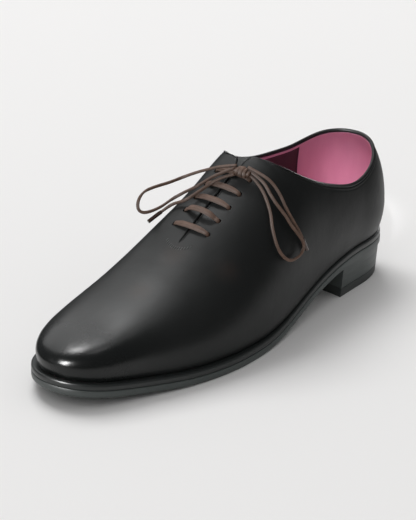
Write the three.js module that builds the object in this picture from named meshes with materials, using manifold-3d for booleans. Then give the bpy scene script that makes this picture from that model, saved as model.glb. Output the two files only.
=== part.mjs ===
// Whole cut oxford, left shoe: one hollow leather upper, lasted over a welted sole with a stacked heel.
// Millimetres, +Z up. The origin is on the floor at the middle of the heel's tread. The toe points to -Y
// and +X is the outer (lateral) side of the wearer's left foot.
import * as THREE from 'three';
import { mergeVertices } from 'three/addons/utils/BufferGeometryUtils.js';
import Module from 'manifold-3d';

const wasm = await Module();
wasm.setup();

// Last: the form that the upper takes
const LAST_LENGTH = 294; // feather line, back of the heel to the tip of the toe
const BALL_WIDTH = 90; // feather line across the ball of the foot
const INSTEP_RISE = 79; // feather line to the ridge of the last at the top of the lacing
const BACK_RISE = 61; // feather line to the topline at the back of the heel
const HEEL_HEIGHT = 21; // floor to the underside of the outsole at the heel
const TOE_SPRING = 8.5; // floor to the underside of the outsole at the toe tip
const HEEL_MIDDLE = 31; // back of the feather line to the middle of the heel's tread

// Bottom
const OUTSOLE_THICK = 4.6;
const WELT_THICK = 3.8;
const WELT_LAND = 9; // how far the welt reaches in under the upper and the insole
const INSOLE_THICK = 3;
const LIFT_THICK = 6; // rubber top lift under the leather heel stack
const HEEL_LENGTH = 63; // back of the feather line to the heel's breast
const HEEL_TAPER = 2; // how far the heel draws in from its seat to its tread
const BREAST_HOLLOW = 3; // depth of the curve across the heel's breast
const EDGE_ROUND = 0.9; // rounding of the sole's trimmed edges
const SEAT_GAP = 0.3; // between pieces that lie against each other

// Upper, tongue and lacing
const UPPER_WALL = 2.2; // calf and its lining together
const SLIT_WIDTH = 2.6; // between the two edges of the lacing slit
const TONGUE_THICK = 1.8;
const TONGUE_GAP = 0.5; // under the facings
const TONGUE_LEAN = 2.6; // how much lower its top end lies
const TONGUE_WIDTH = 46;
const TONGUE_PROUD = 6; // how far the tongue stands above the top of the lacing
const LACE_WIDTH = 4;
const LACE_THICK = 1.5;
const EYELET_RADIUS = 1.7;
const EYELET_INSET = 13; // ridge to the middle of each eyelet, across the facing
const EYELET_PAIRS = 5;
const BAR_ARCH = 0.7; // how far the middle of a lace bar stands above its ends
// The half of a lace bar from its end to near the slit: out is a share of EYELET_INSET, rest and arch are how much
// of its rest on the facing and of its arch it stands up, sunk is a share of UPPER_WALL, and half is a share of
// LACE_WIDTH
const BAR_STATIONS = [
  { out: 1, rest: 0, arch: 0, sunk: 0.64, half: 0.25 },
  { out: 1, rest: 0.19, arch: 0, sunk: 0, half: 0.275 },
  { out: 0.946, rest: 1, arch: 0, sunk: 0, half: 0.375 },
  { out: 0.846, rest: 1, arch: 0.21, sunk: 0, half: 0.5 },
  { out: 0.615, rest: 1, arch: 0.6, sunk: 0, half: 0.5 },
  { out: 0.308, rest: 1, arch: 0.9, sunk: 0, half: 0.5 },
];
const CORD_RADIUS = 1.1; // the lace where it is rolled in the loops and ends
const LACE_KNOT = 0.464; // middle of the knot along the last, a share of LAST_LENGTH
const KNOT_ACROSS = 8.4; // and from the ridge, over the outer facing
const KNOT_LIFT = 2.2; // its underside over the facings, besides the gap
const KNOT_HALF = [4.8, 3.8, 2.6]; // half the knot's width, length and height

// Places along the last, as shares of LAST_LENGTH from the back of the heel
const HEEL_CURVE_FROM = 0.13; // the outline starts to close round the heel here
const TOE_CURVE_FROM = 0.85; // and round the toe here
const FAN_HEEL = 0.16; // sections turn about this point round the heel
const FAN_TOE = 0.915; // and about this one round the toe
const SHANK_FROM = 0.15;
const SHANK_TO = 0.56;
const SPRING_FROM = 0.7;
const SLIT_FRONT = 0.628; // front end of the lacing slit
const LACE_TOP = 0.43; // top end of the lacing
const FIRST_EYELET = 0.597;
const LAST_EYELET = 0.465;
const TONGUE_FRONT = 0.66;
const BACK_BLEND = 0.16; // share of half the way round, from the back seam, in which the topline's sides meet

const HEEL_ROUND = 2.15; // exponents of the outline's two ends: 2 is an ellipse, more is squarer
const TOE_ROUND = 2.2;

// The feather line and the widest line above it, one row for each section. middle and half place the feather line,
// outSwell and inSwell are how far the wall stands out past it on the outer and inner side, and swellUp is the
// height of the widest line over it: all shares of BALL_WIDTH.
const OUTLINE = [
  { at: 0.0, middle: 0.006, half: 0.318, outSwell: 0.04, inSwell: 0.04, swellUp: 0.21 },
  { at: 0.12, middle: 0.006, half: 0.324, outSwell: 0.035, inSwell: 0.035, swellUp: 0.21 },
  { at: 0.2, middle: 0.017, half: 0.34, outSwell: 0.035, inSwell: 0.045, swellUp: 0.23 },
  { at: 0.3, middle: 0.046, half: 0.344, outSwell: 0.04, inSwell: 0.08, swellUp: 0.25 },
  { at: 0.4, middle: 0.085, half: 0.357, outSwell: 0.04, inSwell: 0.1, swellUp: 0.26 },
  { at: 0.48, middle: 0.104, half: 0.384, outSwell: 0.035, inSwell: 0.09, swellUp: 0.24 },
  { at: 0.56, middle: 0.088, half: 0.431, outSwell: 0.03, inSwell: 0.07, swellUp: 0.21 },
  { at: 0.64, middle: 0.039, half: 0.487, outSwell: 0.022, inSwell: 0.035, swellUp: 0.18 },
  { at: 0.72, middle: -0.008, half: 0.4995, outSwell: 0.02, inSwell: 0.025, swellUp: 0.15 },
  { at: 0.8, middle: -0.037, half: 0.461, outSwell: 0.018, inSwell: 0.02, swellUp: 0.13 },
  { at: 0.88, middle: -0.05, half: 0.389, outSwell: 0.016, inSwell: 0.016, swellUp: 0.11 },
  { at: 1.0, middle: -0.011, half: 0.34, outSwell: 0.014, inSwell: 0.014, swellUp: 0.08 },
];

// From the widest line up to the ridge. rise is the ridge's height over the feather line as a share of
// INSTEP_RISE, ridge its place across as a share of BALL_WIDTH, and the rest say how full the wall and the crown
// of a section are on the outer and inner side.
const CROWN = [
  { at: 0.0, rise: 1.0, ridge: 0, outWall: 0.56, outCrown: 0.6, inWall: 0.56, inCrown: 0.6 },
  { at: 0.12, rise: 1.05, ridge: 0, outWall: 0.56, outCrown: 0.6, inWall: 0.56, inCrown: 0.6 },
  { at: 0.2, rise: 1.12, ridge: 0, outWall: 0.54, outCrown: 0.58, inWall: 0.54, inCrown: 0.58 },
  { at: 0.3, rise: 1.19, ridge: -0.015, outWall: 0.58, outCrown: 0.62, inWall: 0.6, inCrown: 0.64 },
  { at: 0.4, rise: 1.19, ridge: -0.045, outWall: 0.6, outCrown: 0.7, inWall: 0.68, inCrown: 0.76 },
  { at: 0.48, rise: 1.065, ridge: -0.07, outWall: 0.6, outCrown: 0.72, inWall: 0.7, inCrown: 0.84 },
  { at: 0.56, rise: 0.91, ridge: -0.06, outWall: 0.57, outCrown: 0.7, inWall: 0.68, inCrown: 0.84 },
  { at: 0.64, rise: 0.73, ridge: -0.02, outWall: 0.54, outCrown: 0.64, inWall: 0.62, inCrown: 0.76 },
  { at: 0.72, rise: 0.575, ridge: 0, outWall: 0.56, outCrown: 0.62, inWall: 0.57, inCrown: 0.64 },
  { at: 0.8, rise: 0.45, ridge: 0, outWall: 0.66, outCrown: 0.68, inWall: 0.6, inCrown: 0.6 },
  { at: 0.88, rise: 0.34, ridge: 0, outWall: 0.76, outCrown: 0.74, inWall: 0.68, inCrown: 0.62 },
  { at: 1.0, rise: 0.2, ridge: 0, outWall: 0.74, outCrown: 0.74, inWall: 0.66, inCrown: 0.64 },
];

// How far the welt and outsole stand out past the feather line, in mm, and the topline's height above the
// feather line as a share of BACK_RISE. The topline lies lower on the outer side, under the ankle bone.
const SOLE_EDGE = [
  { at: 0.0, out: 0.9 },
  { at: 0.2, out: 1.2 },
  { at: 0.4, out: 1.4 },
  { at: 0.6, out: 3.4 },
  { at: 0.75, out: 4.4 },
  { at: 1.0, out: 4 },
];
const TOPLINE = [
  { at: 0.0, outer: 1.02, inner: 1.02 },
  { at: 0.04, outer: 0.95, inner: 0.995 },
  { at: 0.07, outer: 0.87, inner: 0.95 },
  { at: 0.11, outer: 0.78, inner: 0.89 },
  { at: 0.15, outer: 0.73, inner: 0.868 },
  { at: 0.2, outer: 0.76, inner: 0.892 },
  { at: 0.24, outer: 0.845, inner: 0.936 },
  { at: 0.29, outer: 0.985, inner: 1.032 },
  { at: 0.33, outer: 1.125, inner: 1.15 },
  { at: 0.37, outer: 1.285, inner: 1.305 },
  { at: 0.4, outer: 1.42, inner: 1.42 },
  { at: 0.43, outer: 1.58, inner: 1.5 },
  { at: 0.46, outer: 1.84, inner: 1.68 },
  { at: 0.5, outer: 2.3, inner: 2.3 },
];
const CORNER_SHARPNESS = 14; // of each facing's top corner, where the topline rounds into the slit

// Middle lines of the lace's loops and ends, from the knot round and back to it or out to the tip: at is along the
// last from the heel, a share of LAST_LENGTH, across is from the middle line, a share of BALL_WIDTH, and up is
// from the floor, a share of INSTEP_RISE.
const OUTER_LOOP = [
  { at: 0.4668, across: 0.207, up: 1.251 },
  { at: 0.4666, across: 0.2412, up: 1.2289 },
  { at: 0.4738, across: 0.3287, up: 1.1554 },
  { at: 0.483, across: 0.4026, up: 1.0456 },
  { at: 0.4959, across: 0.4579, up: 0.9343 },
  { at: 0.4981, across: 0.5052, up: 0.8095 },
  { at: 0.4861, across: 0.5256, up: 0.722 },
  { at: 0.4653, across: 0.5297, up: 0.6673 },
  { at: 0.4425, across: 0.5243, up: 0.6558 },
  { at: 0.4232, across: 0.5214, up: 0.6793 },
  { at: 0.4167, across: 0.515, up: 0.757 },
  { at: 0.4461, across: 0.4869, up: 0.9227 },
  { at: 0.4553, across: 0.4601, up: 1.0029 },
  { at: 0.4653, across: 0.4111, up: 1.0932 },
  { at: 0.4672, across: 0.3636, up: 1.1592 },
  { at: 0.4641, across: 0.2961, up: 1.2335 },
  { at: 0.4643, across: 0.21, up: 1.29 },
];
const OUTER_END = [
  { at: 0.4665, across: 0.222, up: 1.32 },
  { at: 0.459, across: 0.2993, up: 1.273 },
  { at: 0.4528, across: 0.3542, up: 1.2171 },
  { at: 0.45, across: 0.4043, up: 1.1426 },
  { at: 0.4479, across: 0.4473, up: 1.0523 },
  { at: 0.4395, across: 0.4656, up: 0.9772 },
  { at: 0.4177, across: 0.4899, up: 0.8254 },
  { at: 0.3974, across: 0.4979, up: 0.6688 },
];
const INNER_LOOP = [
  { at: 0.4748, across: 0.042, up: 1.313 },
  { at: 0.4792, across: -0.0294, up: 1.2927 },
  { at: 0.4835, across: -0.153, up: 1.2371 },
  { at: 0.4857, across: -0.244, up: 1.1899 },
  { at: 0.4961, across: -0.3225, up: 1.1444 },
  { at: 0.5226, across: -0.3662, up: 1.12 },
  { at: 0.5558, across: -0.4177, up: 1.1002 },
  { at: 0.5765, across: -0.4421, up: 1.0768 },
  { at: 0.5936, across: -0.4402, up: 1.033 },
  { at: 0.6008, across: -0.4262, up: 0.9785 },
  { at: 0.5971, across: -0.4046, up: 0.9474 },
  { at: 0.5854, across: -0.3722, up: 0.9459 },
  { at: 0.5622, across: -0.3357, up: 0.9698 },
  { at: 0.5356, across: -0.302, up: 1.0159 },
  { at: 0.5245, across: -0.2311, up: 1.0759 },
  { at: 0.5253, across: -0.114, up: 1.1608 },
  { at: 0.5041, across: -0.0453, up: 1.227 },
  { at: 0.4856, across: 0.038, up: 1.2835 },
];
const INNER_END = [
  { at: 0.487, across: 0.062, up: 1.2515 },
  { at: 0.4921, across: 0.0336, up: 1.2392 },
  { at: 0.5064, across: -0.0261, up: 1.1981 },
  { at: 0.5336, across: -0.0847, up: 1.1278 },
  { at: 0.5524, across: -0.1443, up: 1.0683 },
  { at: 0.5529, across: -0.2564, up: 1.0021 },
  { at: 0.5715, across: -0.3166, up: 0.9358 },
  { at: 0.5956, across: -0.3482, up: 0.8843 },
];

// Mesh fineness
const RAYS = 44; // sections on each side of the upper
const WALL_ROWS = 4; // rows from the feather line to the widest point
const CROWN_ROWS = 10; // rows from there to the ridge or topline
const CROWDING = 0.3; // how much closer sections stand at the instep than at the ends
const STEP = 1e-3; // for slopes found by difference

// A natural cubic spline through one column of a table
function curveOf(rows, column) {
  const x = rows.map((row) => row.at);
  const y = rows.map((row) => row[column]);
  const bend = new Array(x.length).fill(0);
  const work = new Array(x.length).fill(0);
  for (let i = 1; i < x.length - 1; i++) {
    const share = (x[i] - x[i - 1]) / (x[i + 1] - x[i - 1]);
    const pivot = share * bend[i - 1] + 2;
    const turn = (y[i + 1] - y[i]) / (x[i + 1] - x[i]) - (y[i] - y[i - 1]) / (x[i] - x[i - 1]);
    bend[i] = (share - 1) / pivot;
    work[i] = ((6 * turn) / (x[i + 1] - x[i - 1]) - share * work[i - 1]) / pivot;
  }
  for (let i = x.length - 2; i >= 0; i--) bend[i] = bend[i] * bend[i + 1] + work[i];
  return (at) => {
    const a = THREE.MathUtils.clamp(at, x[0], x[x.length - 1]);
    let i = 0;
    while (i < x.length - 2 && a > x[i + 1]) i++;
    const h = x[i + 1] - x[i];
    const p = (x[i + 1] - a) / h;
    const r = 1 - p;
    return p * y[i] + r * y[i + 1] + (((p ** 3 - p) * bend[i] + (r ** 3 - r) * bend[i + 1]) * h * h) / 6;
  };
}

const columns = (rows) => Object.keys(rows[0]).filter((name) => name !== 'at').map((name) => [name, curveOf(rows, name)]);
const last = Object.fromEntries([...columns(OUTLINE), ...columns(CROWN)]);
const soleOut = curveOf(SOLE_EDGE, 'out');
const toplineUp = { outer: curveOf(TOPLINE, 'outer'), inner: curveOf(TOPLINE, 'inner') };

const smooth = (x) => {
  const a = THREE.MathUtils.clamp(x, 0, 1);
  return a * a * (3 - 2 * a);
};

// Heights over the floor at a distance along the last
const soleUnder = (along) => {
  const at = along / LAST_LENGTH;
  const shank = 1 - smooth((at - SHANK_FROM) / (SHANK_TO - SHANK_FROM));
  const spring = Math.max(0, (at - SPRING_FROM) / (1 - SPRING_FROM));
  return HEEL_HEIGHT * shank + TOE_SPRING * spring ** 1.7;
};
const outsoleTop = (along) => soleUnder(along) + OUTSOLE_THICK;
const weltTop = (along) => outsoleTop(along) + SEAT_GAP + WELT_THICK;
const feather = (along) => weltTop(along) + SEAT_GAP;
const roof = (along) => feather(along) + INSTEP_RISE * last.rise(along / LAST_LENGTH);
// The topline's two sides draw together towards the back seam
const topline = (along, turn) => {
  const at = along / LAST_LENGTH;
  const outer = (1 + Math.sign(turn) * smooth((1 - Math.abs(turn)) / BACK_BLEND)) / 2;
  return feather(along) + BACK_RISE * THREE.MathUtils.lerp(toplineUp.inner(at), toplineUp.outer(at), outer);
};

// How far the outline has closed at its two ends: 1 in between
function closing(at) {
  if (at > TOE_CURVE_FROM) {
    return (1 - ((at - TOE_CURVE_FROM) / (1 - TOE_CURVE_FROM)) ** TOE_ROUND) ** (1 / TOE_ROUND);
  }
  if (at < HEEL_CURVE_FROM) return (1 - ((HEEL_CURVE_FROM - at) / HEEL_CURVE_FROM) ** HEEL_ROUND) ** (1 / HEEL_ROUND);
  return 1;
}

// Places round the outline go by a turn from -1 to 1: 0 is the toe tip, 1 and -1 the back of the heel, and turns
// above 0 the outer side. A plan point's x is across the shoe and its y along it, from the back of the heel.
const atOf = (turn) => (1 + Math.cos(Math.PI * turn)) / 2;
const turnOf = (at) => Math.acos(THREE.MathUtils.clamp(2 * at - 1, -1, 1)) / Math.PI;
const sideOf = (turn) => Math.sign(Math.sin(Math.PI * turn));

function featherPoint(turn) {
  const at = atOf(turn);
  const half = sideOf(turn) * last.half(at) * closing(at);
  return new THREE.Vector2(BALL_WIDTH * (last.middle(at) + half), LAST_LENGTH * at);
}

function outward(turn) {
  const way = featherPoint(turn + STEP).sub(featherPoint(turn - STEP)).normalize();
  return new THREE.Vector2(-way.y, way.x);
}

const outlinePoint = (turn, out) => featherPoint(turn).addScaledVector(outward(turn), out);
const soleOutline = (inset) => (turn) => outlinePoint(turn, soleOut(atOf(turn)) - inset);

// World place of a plan point at a height
const placed = (plan, height) => new THREE.Vector3(plan.x, HEEL_MIDDLE - plan.y, height);

// A point of the last's surface: level -1 is the feather line, 0 the widest line and 1 the ridge
function lastPoint(turn, level) {
  const at = atOf(turn);
  const foot = featherPoint(turn);
  const swell = BALL_WIDTH * (sideOf(turn) > 0 ? last.outSwell(at) : last.inSwell(at));
  const wide = foot.clone().addScaledVector(outward(turn), swell);
  const low = feather(foot.y);
  const wideHeight = low + BALL_WIDTH * last.swellUp(at);
  if (level <= 0) {
    const up = 1 + level;
    return placed(foot.lerp(wide, 1 - (1 - up) ** 2), low + (wideHeight - low) * up);
  }
  const hub = THREE.MathUtils.clamp(at, FAN_HEEL, FAN_TOE);
  const top = new THREE.Vector2(BALL_WIDTH * (last.middle(hub) + last.ridge(hub)), LAST_LENGTH * hub);
  const left = 1 - level;
  const [wall, crown] = sideOf(turn) > 0 ? [last.outWall(at), last.outCrown(at)] : [last.inWall(at), last.inCrown(at)];
  const reach = left ** 3 + 3 * left * left * level + 3 * left * level * level * crown;
  const lift = 3 * left * left * level * wall + 3 * left * level * level + level ** 3;
  const plan = top.lerp(wide, reach);
  return placed(plan, wideHeight + (roof(plan.y) - wideHeight) * lift);
}

// The way out of the last at a point of its surface
function lastNormal(turn, level) {
  if (level > 1 - STEP) {
    const along = LAST_LENGTH * THREE.MathUtils.clamp(atOf(turn), FAN_HEEL, FAN_TOE);
    const slope = (roof(along + 1) - roof(along - 1)) / 2;
    return new THREE.Vector3(0, slope, 1).normalize();
  }
  const round = lastPoint(turn + STEP, level).sub(lastPoint(turn - STEP, level));
  const up = lastPoint(turn, level + STEP).sub(lastPoint(turn, level - STEP));
  return round.cross(up).normalize();
}

const inside = (turn, level, depth) => lastPoint(turn, level).addScaledVector(lastNormal(turn, level), -depth);

// The level, between 0 and 1, at which a rising measure passes a value
function levelWhere(measure) {
  let low = 0;
  let high = 1;
  for (let i = 0; i < 30; i++) {
    const middle = (low + high) / 2;
    if (measure(middle) < 0) low = middle;
    else high = middle;
  }
  return high;
}

// Across the ridge: the level that lies a given distance from the ridge of its own section
const levelFromRidge = (turn, distance) => {
  const top = lastPoint(turn, 1);
  return levelWhere((level) => distance - lastPoint(turn, level).distanceTo(top));
};

// Where the upper ends: the ridge ahead of the slit, the slit's edge along the lacing, and behind it the topline
function upperEdge(turn) {
  const at = atOf(turn);
  if (at >= SLIT_FRONT) return 1;
  const overTopline = (level) => {
    const point = lastPoint(turn, level);
    return point.z - topline(HEEL_MIDDLE - point.y, turn);
  };
  const opening = smooth((SLIT_FRONT - at) / (SLIT_FRONT - FIRST_EYELET));
  const slit = levelFromRidge(turn, (SLIT_WIDTH / 2) * opening);
  const top = levelWhere(overTopline) + Math.max(0, -overTopline(1)) / INSTEP_RISE;
  return -Math.log(Math.exp(-CORNER_SHARPNESS * slit) + Math.exp(-CORNER_SHARPNESS * top)) / CORNER_SHARPNESS;
}

// Sections: the places along the last that rays are cut at, closer at the instep, with the marks among them
function sections(count, marks) {
  const places = Array.from({ length: count + 1 }, (_, i) => {
    const share = i / count;
    return atOf(share + (CROWDING * Math.sin(2 * Math.PI * share)) / (2 * Math.PI));
  });
  for (const mark of marks) {
    const nearest = places.reduce((best, at, i) => (Math.abs(at - mark) < Math.abs(places[best] - mark) ? i : best), 1);
    places[nearest] = mark;
  }
  return places;
}

// Both sides in one round of turns, from the toe down the outer side and back up the inner side
function roundOf(places) {
  const outer = places.map(turnOf);
  return [...outer, ...outer.slice(1, -1).reverse().map((turn) => -turn)];
}

// Closed geometry from points and four-sided faces, with doubled corners merged and the faces that they flatten left out
function geometryOf(points, quads) {
  const raw = new THREE.BufferGeometry().setFromPoints(points);
  raw.setIndex(quads.flatMap(([a, b, c, d]) => [a, b, c, a, c, d]));
  const merged = mergeVertices(raw, 1e-3);
  const flat = merged.index.array;
  const kept = [];
  for (let i = 0; i < flat.length; i += 3) {
    const corners = [flat[i], flat[i + 1], flat[i + 2]];
    if (new Set(corners).size === 3) kept.push(...corners);
  }
  merged.setIndex(kept);
  merged.computeVertexNormals();
  return merged;
}

// The hollow upper: an outer skin on the last, an inner skin one wall inside it, and rims that join them
function upperGeometry() {
  const places = sections(RAYS, [SLIT_FRONT, LACE_TOP, FAN_TOE, FAN_HEEL]);
  const turns = roundOf(places);
  const rows = WALL_ROWS + CROWN_ROWS;
  const points = [];
  const edges = turns.map(upperEdge);
  for (const depth of [0, UPPER_WALL]) {
    turns.forEach((turn, i) => {
      for (let row = 0; row <= rows; row++) {
        const level = row <= WALL_ROWS ? row / WALL_ROWS - 1 : (edges[i] * (row - WALL_ROWS)) / CROWN_ROWS;
        const point = inside(turn, level, depth);
        if (row === 0) {
          point.copy(placed(outlinePoint(turn, -depth), feather(featherPoint(turn).y)));
        }
        points.push(point);
      }
    });
  }
  const id = (skin, ray, row) => (skin * turns.length + (ray % turns.length)) * (rows + 1) + row;
  const quads = [];
  turns.forEach((turn, i) => {
    for (let row = 0; row < rows; row++) {
      quads.push([id(0, i, row), id(0, i + 1, row), id(0, i + 1, row + 1), id(0, i, row + 1)]);
      quads.push([id(1, i, row), id(1, i, row + 1), id(1, i + 1, row + 1), id(1, i + 1, row)]);
    }
    quads.push([id(0, i, 0), id(1, i, 0), id(1, i + 1, 0), id(0, i + 1, 0)]);
    if (edges[i] < 1 || edges[(i + 1) % turns.length] < 1) {
      quads.push([id(0, i, rows), id(0, i + 1, rows), id(1, i + 1, rows), id(1, i, rows)]);
    }
  });
  return geometryOf(points, quads);
}

// A plate between two heights. Each layer has an outline and a height, from the top down, and the plate runs
// between two places along the last.
function slab(layers, from, to, count) {
  const places = sections(count, []).filter((at) => at > from && at < to);
  const ends = [to, ...places, from];
  const points = [];
  const quads = [];
  const perLayer = ends.length * 2;
  for (const { outline, height } of layers) {
    for (const side of [1, -1]) {
      for (const at of ends) {
        const plan = outline(side * turnOf(at));
        points.push(placed(plan, height(plan.y)));
      }
    }
  }
  const id = (layer, side, i) => layer * perLayer + side * ends.length + i;
  const bottom = layers.length - 1;
  for (let i = 0; i < ends.length - 1; i++) {
    quads.push([id(0, 0, i), id(0, 0, i + 1), id(0, 1, i + 1), id(0, 1, i)]);
    quads.push([id(bottom, 0, i), id(bottom, 1, i), id(bottom, 1, i + 1), id(bottom, 0, i + 1)]);
    for (let layer = 0; layer < bottom; layer++) {
      quads.push([id(layer, 0, i), id(layer + 1, 0, i), id(layer + 1, 0, i + 1), id(layer, 0, i + 1)]);
      quads.push([id(layer, 1, i), id(layer, 1, i + 1), id(layer + 1, 1, i + 1), id(layer + 1, 1, i)]);
    }
  }
  const back = ends.length - 1;
  for (let layer = 0; layer < bottom; layer++) {
    quads.push([id(layer, 0, 0), id(layer, 1, 0), id(layer + 1, 1, 0), id(layer + 1, 0, 0)]);
    quads.push([id(layer, 0, back), id(layer + 1, 0, back), id(layer + 1, 1, back), id(layer, 1, back)]);
  }
  return geometryOf(points, quads);
}

// The welt: a flat strip all round, under the rim of the upper and the edge of the insole
function weltGeometry() {
  const turns = roundOf(sections(RAYS, []));
  const height = { top: weltTop, bottom: (along) => outsoleTop(along) + SEAT_GAP };
  const corners = [
    { outline: soleOutline(EDGE_ROUND), height: height.top },
    { outline: soleOutline(0), height: (along) => height.top(along) - EDGE_ROUND },
    { outline: soleOutline(0), height: height.bottom },
    { outline: (turn) => outlinePoint(turn, -WELT_LAND), height: height.bottom },
    { outline: (turn) => outlinePoint(turn, -WELT_LAND), height: height.top },
  ];
  const points = turns.flatMap((turn) =>
    corners.map(({ outline, height: level }) => {
      const plan = outline(turn);
      return placed(plan, level(plan.y));
    }),
  );
  const id = (ray, corner) => (ray % turns.length) * corners.length + (corner % corners.length);
  const quads = turns.flatMap((_, i) =>
    corners.map((__, c) => [id(i, c), id(i, c + 1), id(i + 1, c + 1), id(i + 1, c)]),
  );
  return geometryOf(points, quads);
}

function outsoleGeometry() {
  return slab(
    [
      { outline: soleOutline(0), height: outsoleTop },
      { outline: soleOutline(0), height: (along) => soleUnder(along) + EDGE_ROUND },
      { outline: soleOutline(EDGE_ROUND), height: soleUnder },
    ],
    0,
    1,
    RAYS,
  );
}

function insoleGeometry() {
  const outline = (turn) => outlinePoint(turn, -UPPER_WALL - SEAT_GAP);
  return slab(
    [
      { outline, height: (along) => feather(along) + INSOLE_THICK },
      { outline, height: feather },
    ],
    0,
    1,
    RAYS,
  );
}

// manifold-3d solids for the few cuts
function solidOf(geometry) {
  const plain = geometry.clone().deleteAttribute('normal').deleteAttribute('uv');
  const merged = mergeVertices(plain, 1e-3);
  const mesh = new wasm.Mesh({
    numProp: 3,
    vertProperties: new Float32Array(merged.attributes.position.array),
    triVerts: new Uint32Array(merged.index.array),
  });
  return new wasm.Manifold(mesh);
}

function cut(geometry, cutters) {
  const left = cutters.reduce((solid, cutter) => solid.subtract(solidOf(cutter)), solidOf(geometry)).getMesh();
  const made = new THREE.BufferGeometry();
  made.setAttribute('position', new THREE.BufferAttribute(left.vertProperties, 3));
  made.setIndex(new THREE.BufferAttribute(left.triVerts, 1));
  made.computeVertexNormals();
  return made;
}

// A layer of the heel, drawn in towards the floor, with a hollow breast
function heelLayer(top, bottom) {
  const shrink = (height) => EDGE_ROUND + (HEEL_TAPER * (HEEL_HEIGHT - height)) / HEEL_HEIGHT;
  const block = slab(
    [
      { outline: soleOutline(shrink(top(0))), height: top },
      { outline: soleOutline(shrink(bottom(0))), height: bottom },
    ],
    0,
    HEEL_LENGTH / LAST_LENGTH,
    RAYS,
  );
  const chord = BALL_WIDTH * last.half(HEEL_LENGTH / LAST_LENGTH);
  const radius = (chord ** 2 + BREAST_HOLLOW ** 2) / (2 * BREAST_HOLLOW);
  const hollow = new THREE.CylinderGeometry(radius, radius, HEEL_HEIGHT * 3, 240);
  hollow.rotateX(Math.PI / 2);
  const front = new THREE.Vector2(BALL_WIDTH * last.middle(HEEL_LENGTH / LAST_LENGTH), HEEL_LENGTH);
  hollow.translate(...placed(front.setY(front.y + radius - BREAST_HOLLOW), HEEL_HEIGHT / 2));
  return cut(block, [hollow]);
}

const heelStackGeometry = () => heelLayer((along) => soleUnder(along) - SEAT_GAP, () => LIFT_THICK + SEAT_GAP);
const topLiftGeometry = () => heelLayer(() => LIFT_THICK, () => 0);

// The tongue lies under the facings and stands up past them
function tongueGeometry() {
  const slope = new THREE.Vector2(LAST_LENGTH, roof(LAST_LENGTH * (LACE_TOP - 0.02)) - roof(LAST_LENGTH * (LACE_TOP + 0.02)));
  slope.x *= 0.04;
  const top = LACE_TOP - (TONGUE_PROUD * slope.x) / slope.length() / LAST_LENGTH;
  const count = 12;
  const across = 6;
  const depth = UPPER_WALL + TONGUE_GAP;
  const points = [];
  for (const extra of [0, TONGUE_THICK]) {
    for (let i = 0; i <= count; i++) {
      const at = top + ((TONGUE_FRONT - top) * i) / count;
      const narrowed = Math.min(1, 0.55 + 0.45 * Math.sqrt(i / 2));
      for (let j = -across; j <= across; j++) {
        const turn = (j < 0 ? -1 : 1) * turnOf(at);
        const distance = (Math.abs(j / across) * TONGUE_WIDTH * narrowed) / 2;
        const level = j === 0 ? 1 : levelFromRidge(turn, distance);
        points.push(inside(turn, level, depth + extra + TONGUE_LEAN * smooth(1 - i / 5)));
      }
    }
  }
  const wide = 2 * across + 1;
  const id = (skin, i, j) => (skin * (count + 1) + i) * wide + j;
  const quads = [];
  for (let i = 0; i < count; i++) {
    for (let j = 0; j < wide - 1; j++) {
      quads.push([id(0, i, j), id(0, i + 1, j), id(0, i + 1, j + 1), id(0, i, j + 1)]);
      quads.push([id(1, i, j), id(1, i, j + 1), id(1, i + 1, j + 1), id(1, i + 1, j)]);
    }
    quads.push([id(0, i, 0), id(1, i, 0), id(1, i + 1, 0), id(0, i + 1, 0)]);
    quads.push([id(0, i, wide - 1), id(0, i + 1, wide - 1), id(1, i + 1, wide - 1), id(1, i, wide - 1)]);
  }
  for (let j = 0; j < wide - 1; j++) {
    quads.push([id(0, 0, j), id(0, 0, j + 1), id(1, 0, j + 1), id(1, 0, j)]);
    quads.push([id(0, count, j), id(1, count, j), id(1, count, j + 1), id(0, count, j + 1)]);
  }
  return geometryOf(points, quads);
}

// A bar of lace across the slit. Its flat strip lies over both facings, and its ends turn down into the eyelets.
function laceBarGeometry(at) {
  const rest = SEAT_GAP + LACE_THICK / 2;
  const stations = BAR_STATIONS.map((station) => ({
    out: EYELET_INSET * station.out,
    up: rest * station.rest + BAR_ARCH * station.arch - UPPER_WALL * station.sunk,
    half: LACE_WIDTH * station.half,
  }));
  const middle = { out: 0, up: rest + BAR_ARCH, half: LACE_WIDTH / 2 };
  const places = (side) => ({ out, up, half: wide }) => {
    const turn = side * turnOf(at);
    const level = out === 0 ? 1 : levelFromRidge(turn, out);
    return { point: inside(turn, level, -up), wide };
  };
  const path = [...stations.map(places(-1)), places(1)(middle), ...stations.map(places(1)).reverse()];
  const points = path.flatMap(({ point, wide }, i) => {
    const way = path[Math.min(i + 1, path.length - 1)].point.clone().sub(path[Math.max(i - 1, 0)].point).normalize();
    const along = new THREE.Vector3(0, Math.cos(0.6), Math.sin(0.6));
    along.addScaledVector(way, -along.dot(way)).normalize();
    const over = way.clone().cross(along).multiplyScalar(LACE_THICK / 2);
    return [[1, 1], [1, -1], [-1, -1], [-1, 1]].map(([a, o]) =>
      point.clone().addScaledVector(along, a * wide).addScaledVector(over, o),
    );
  });
  const id = (i, c) => i * 4 + (c % 4);
  const quads = [];
  for (let i = 0; i < path.length - 1; i++) {
    for (let c = 0; c < 4; c++) quads.push([id(i, c), id(i + 1, c), id(i + 1, c + 1), id(i, c + 1)]);
  }
  quads.push([0, 1, 2, 3]);
  quads.push([3, 2, 1, 0].map((c) => id(path.length - 1, c)));
  return geometryOf(points, quads);
}

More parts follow.
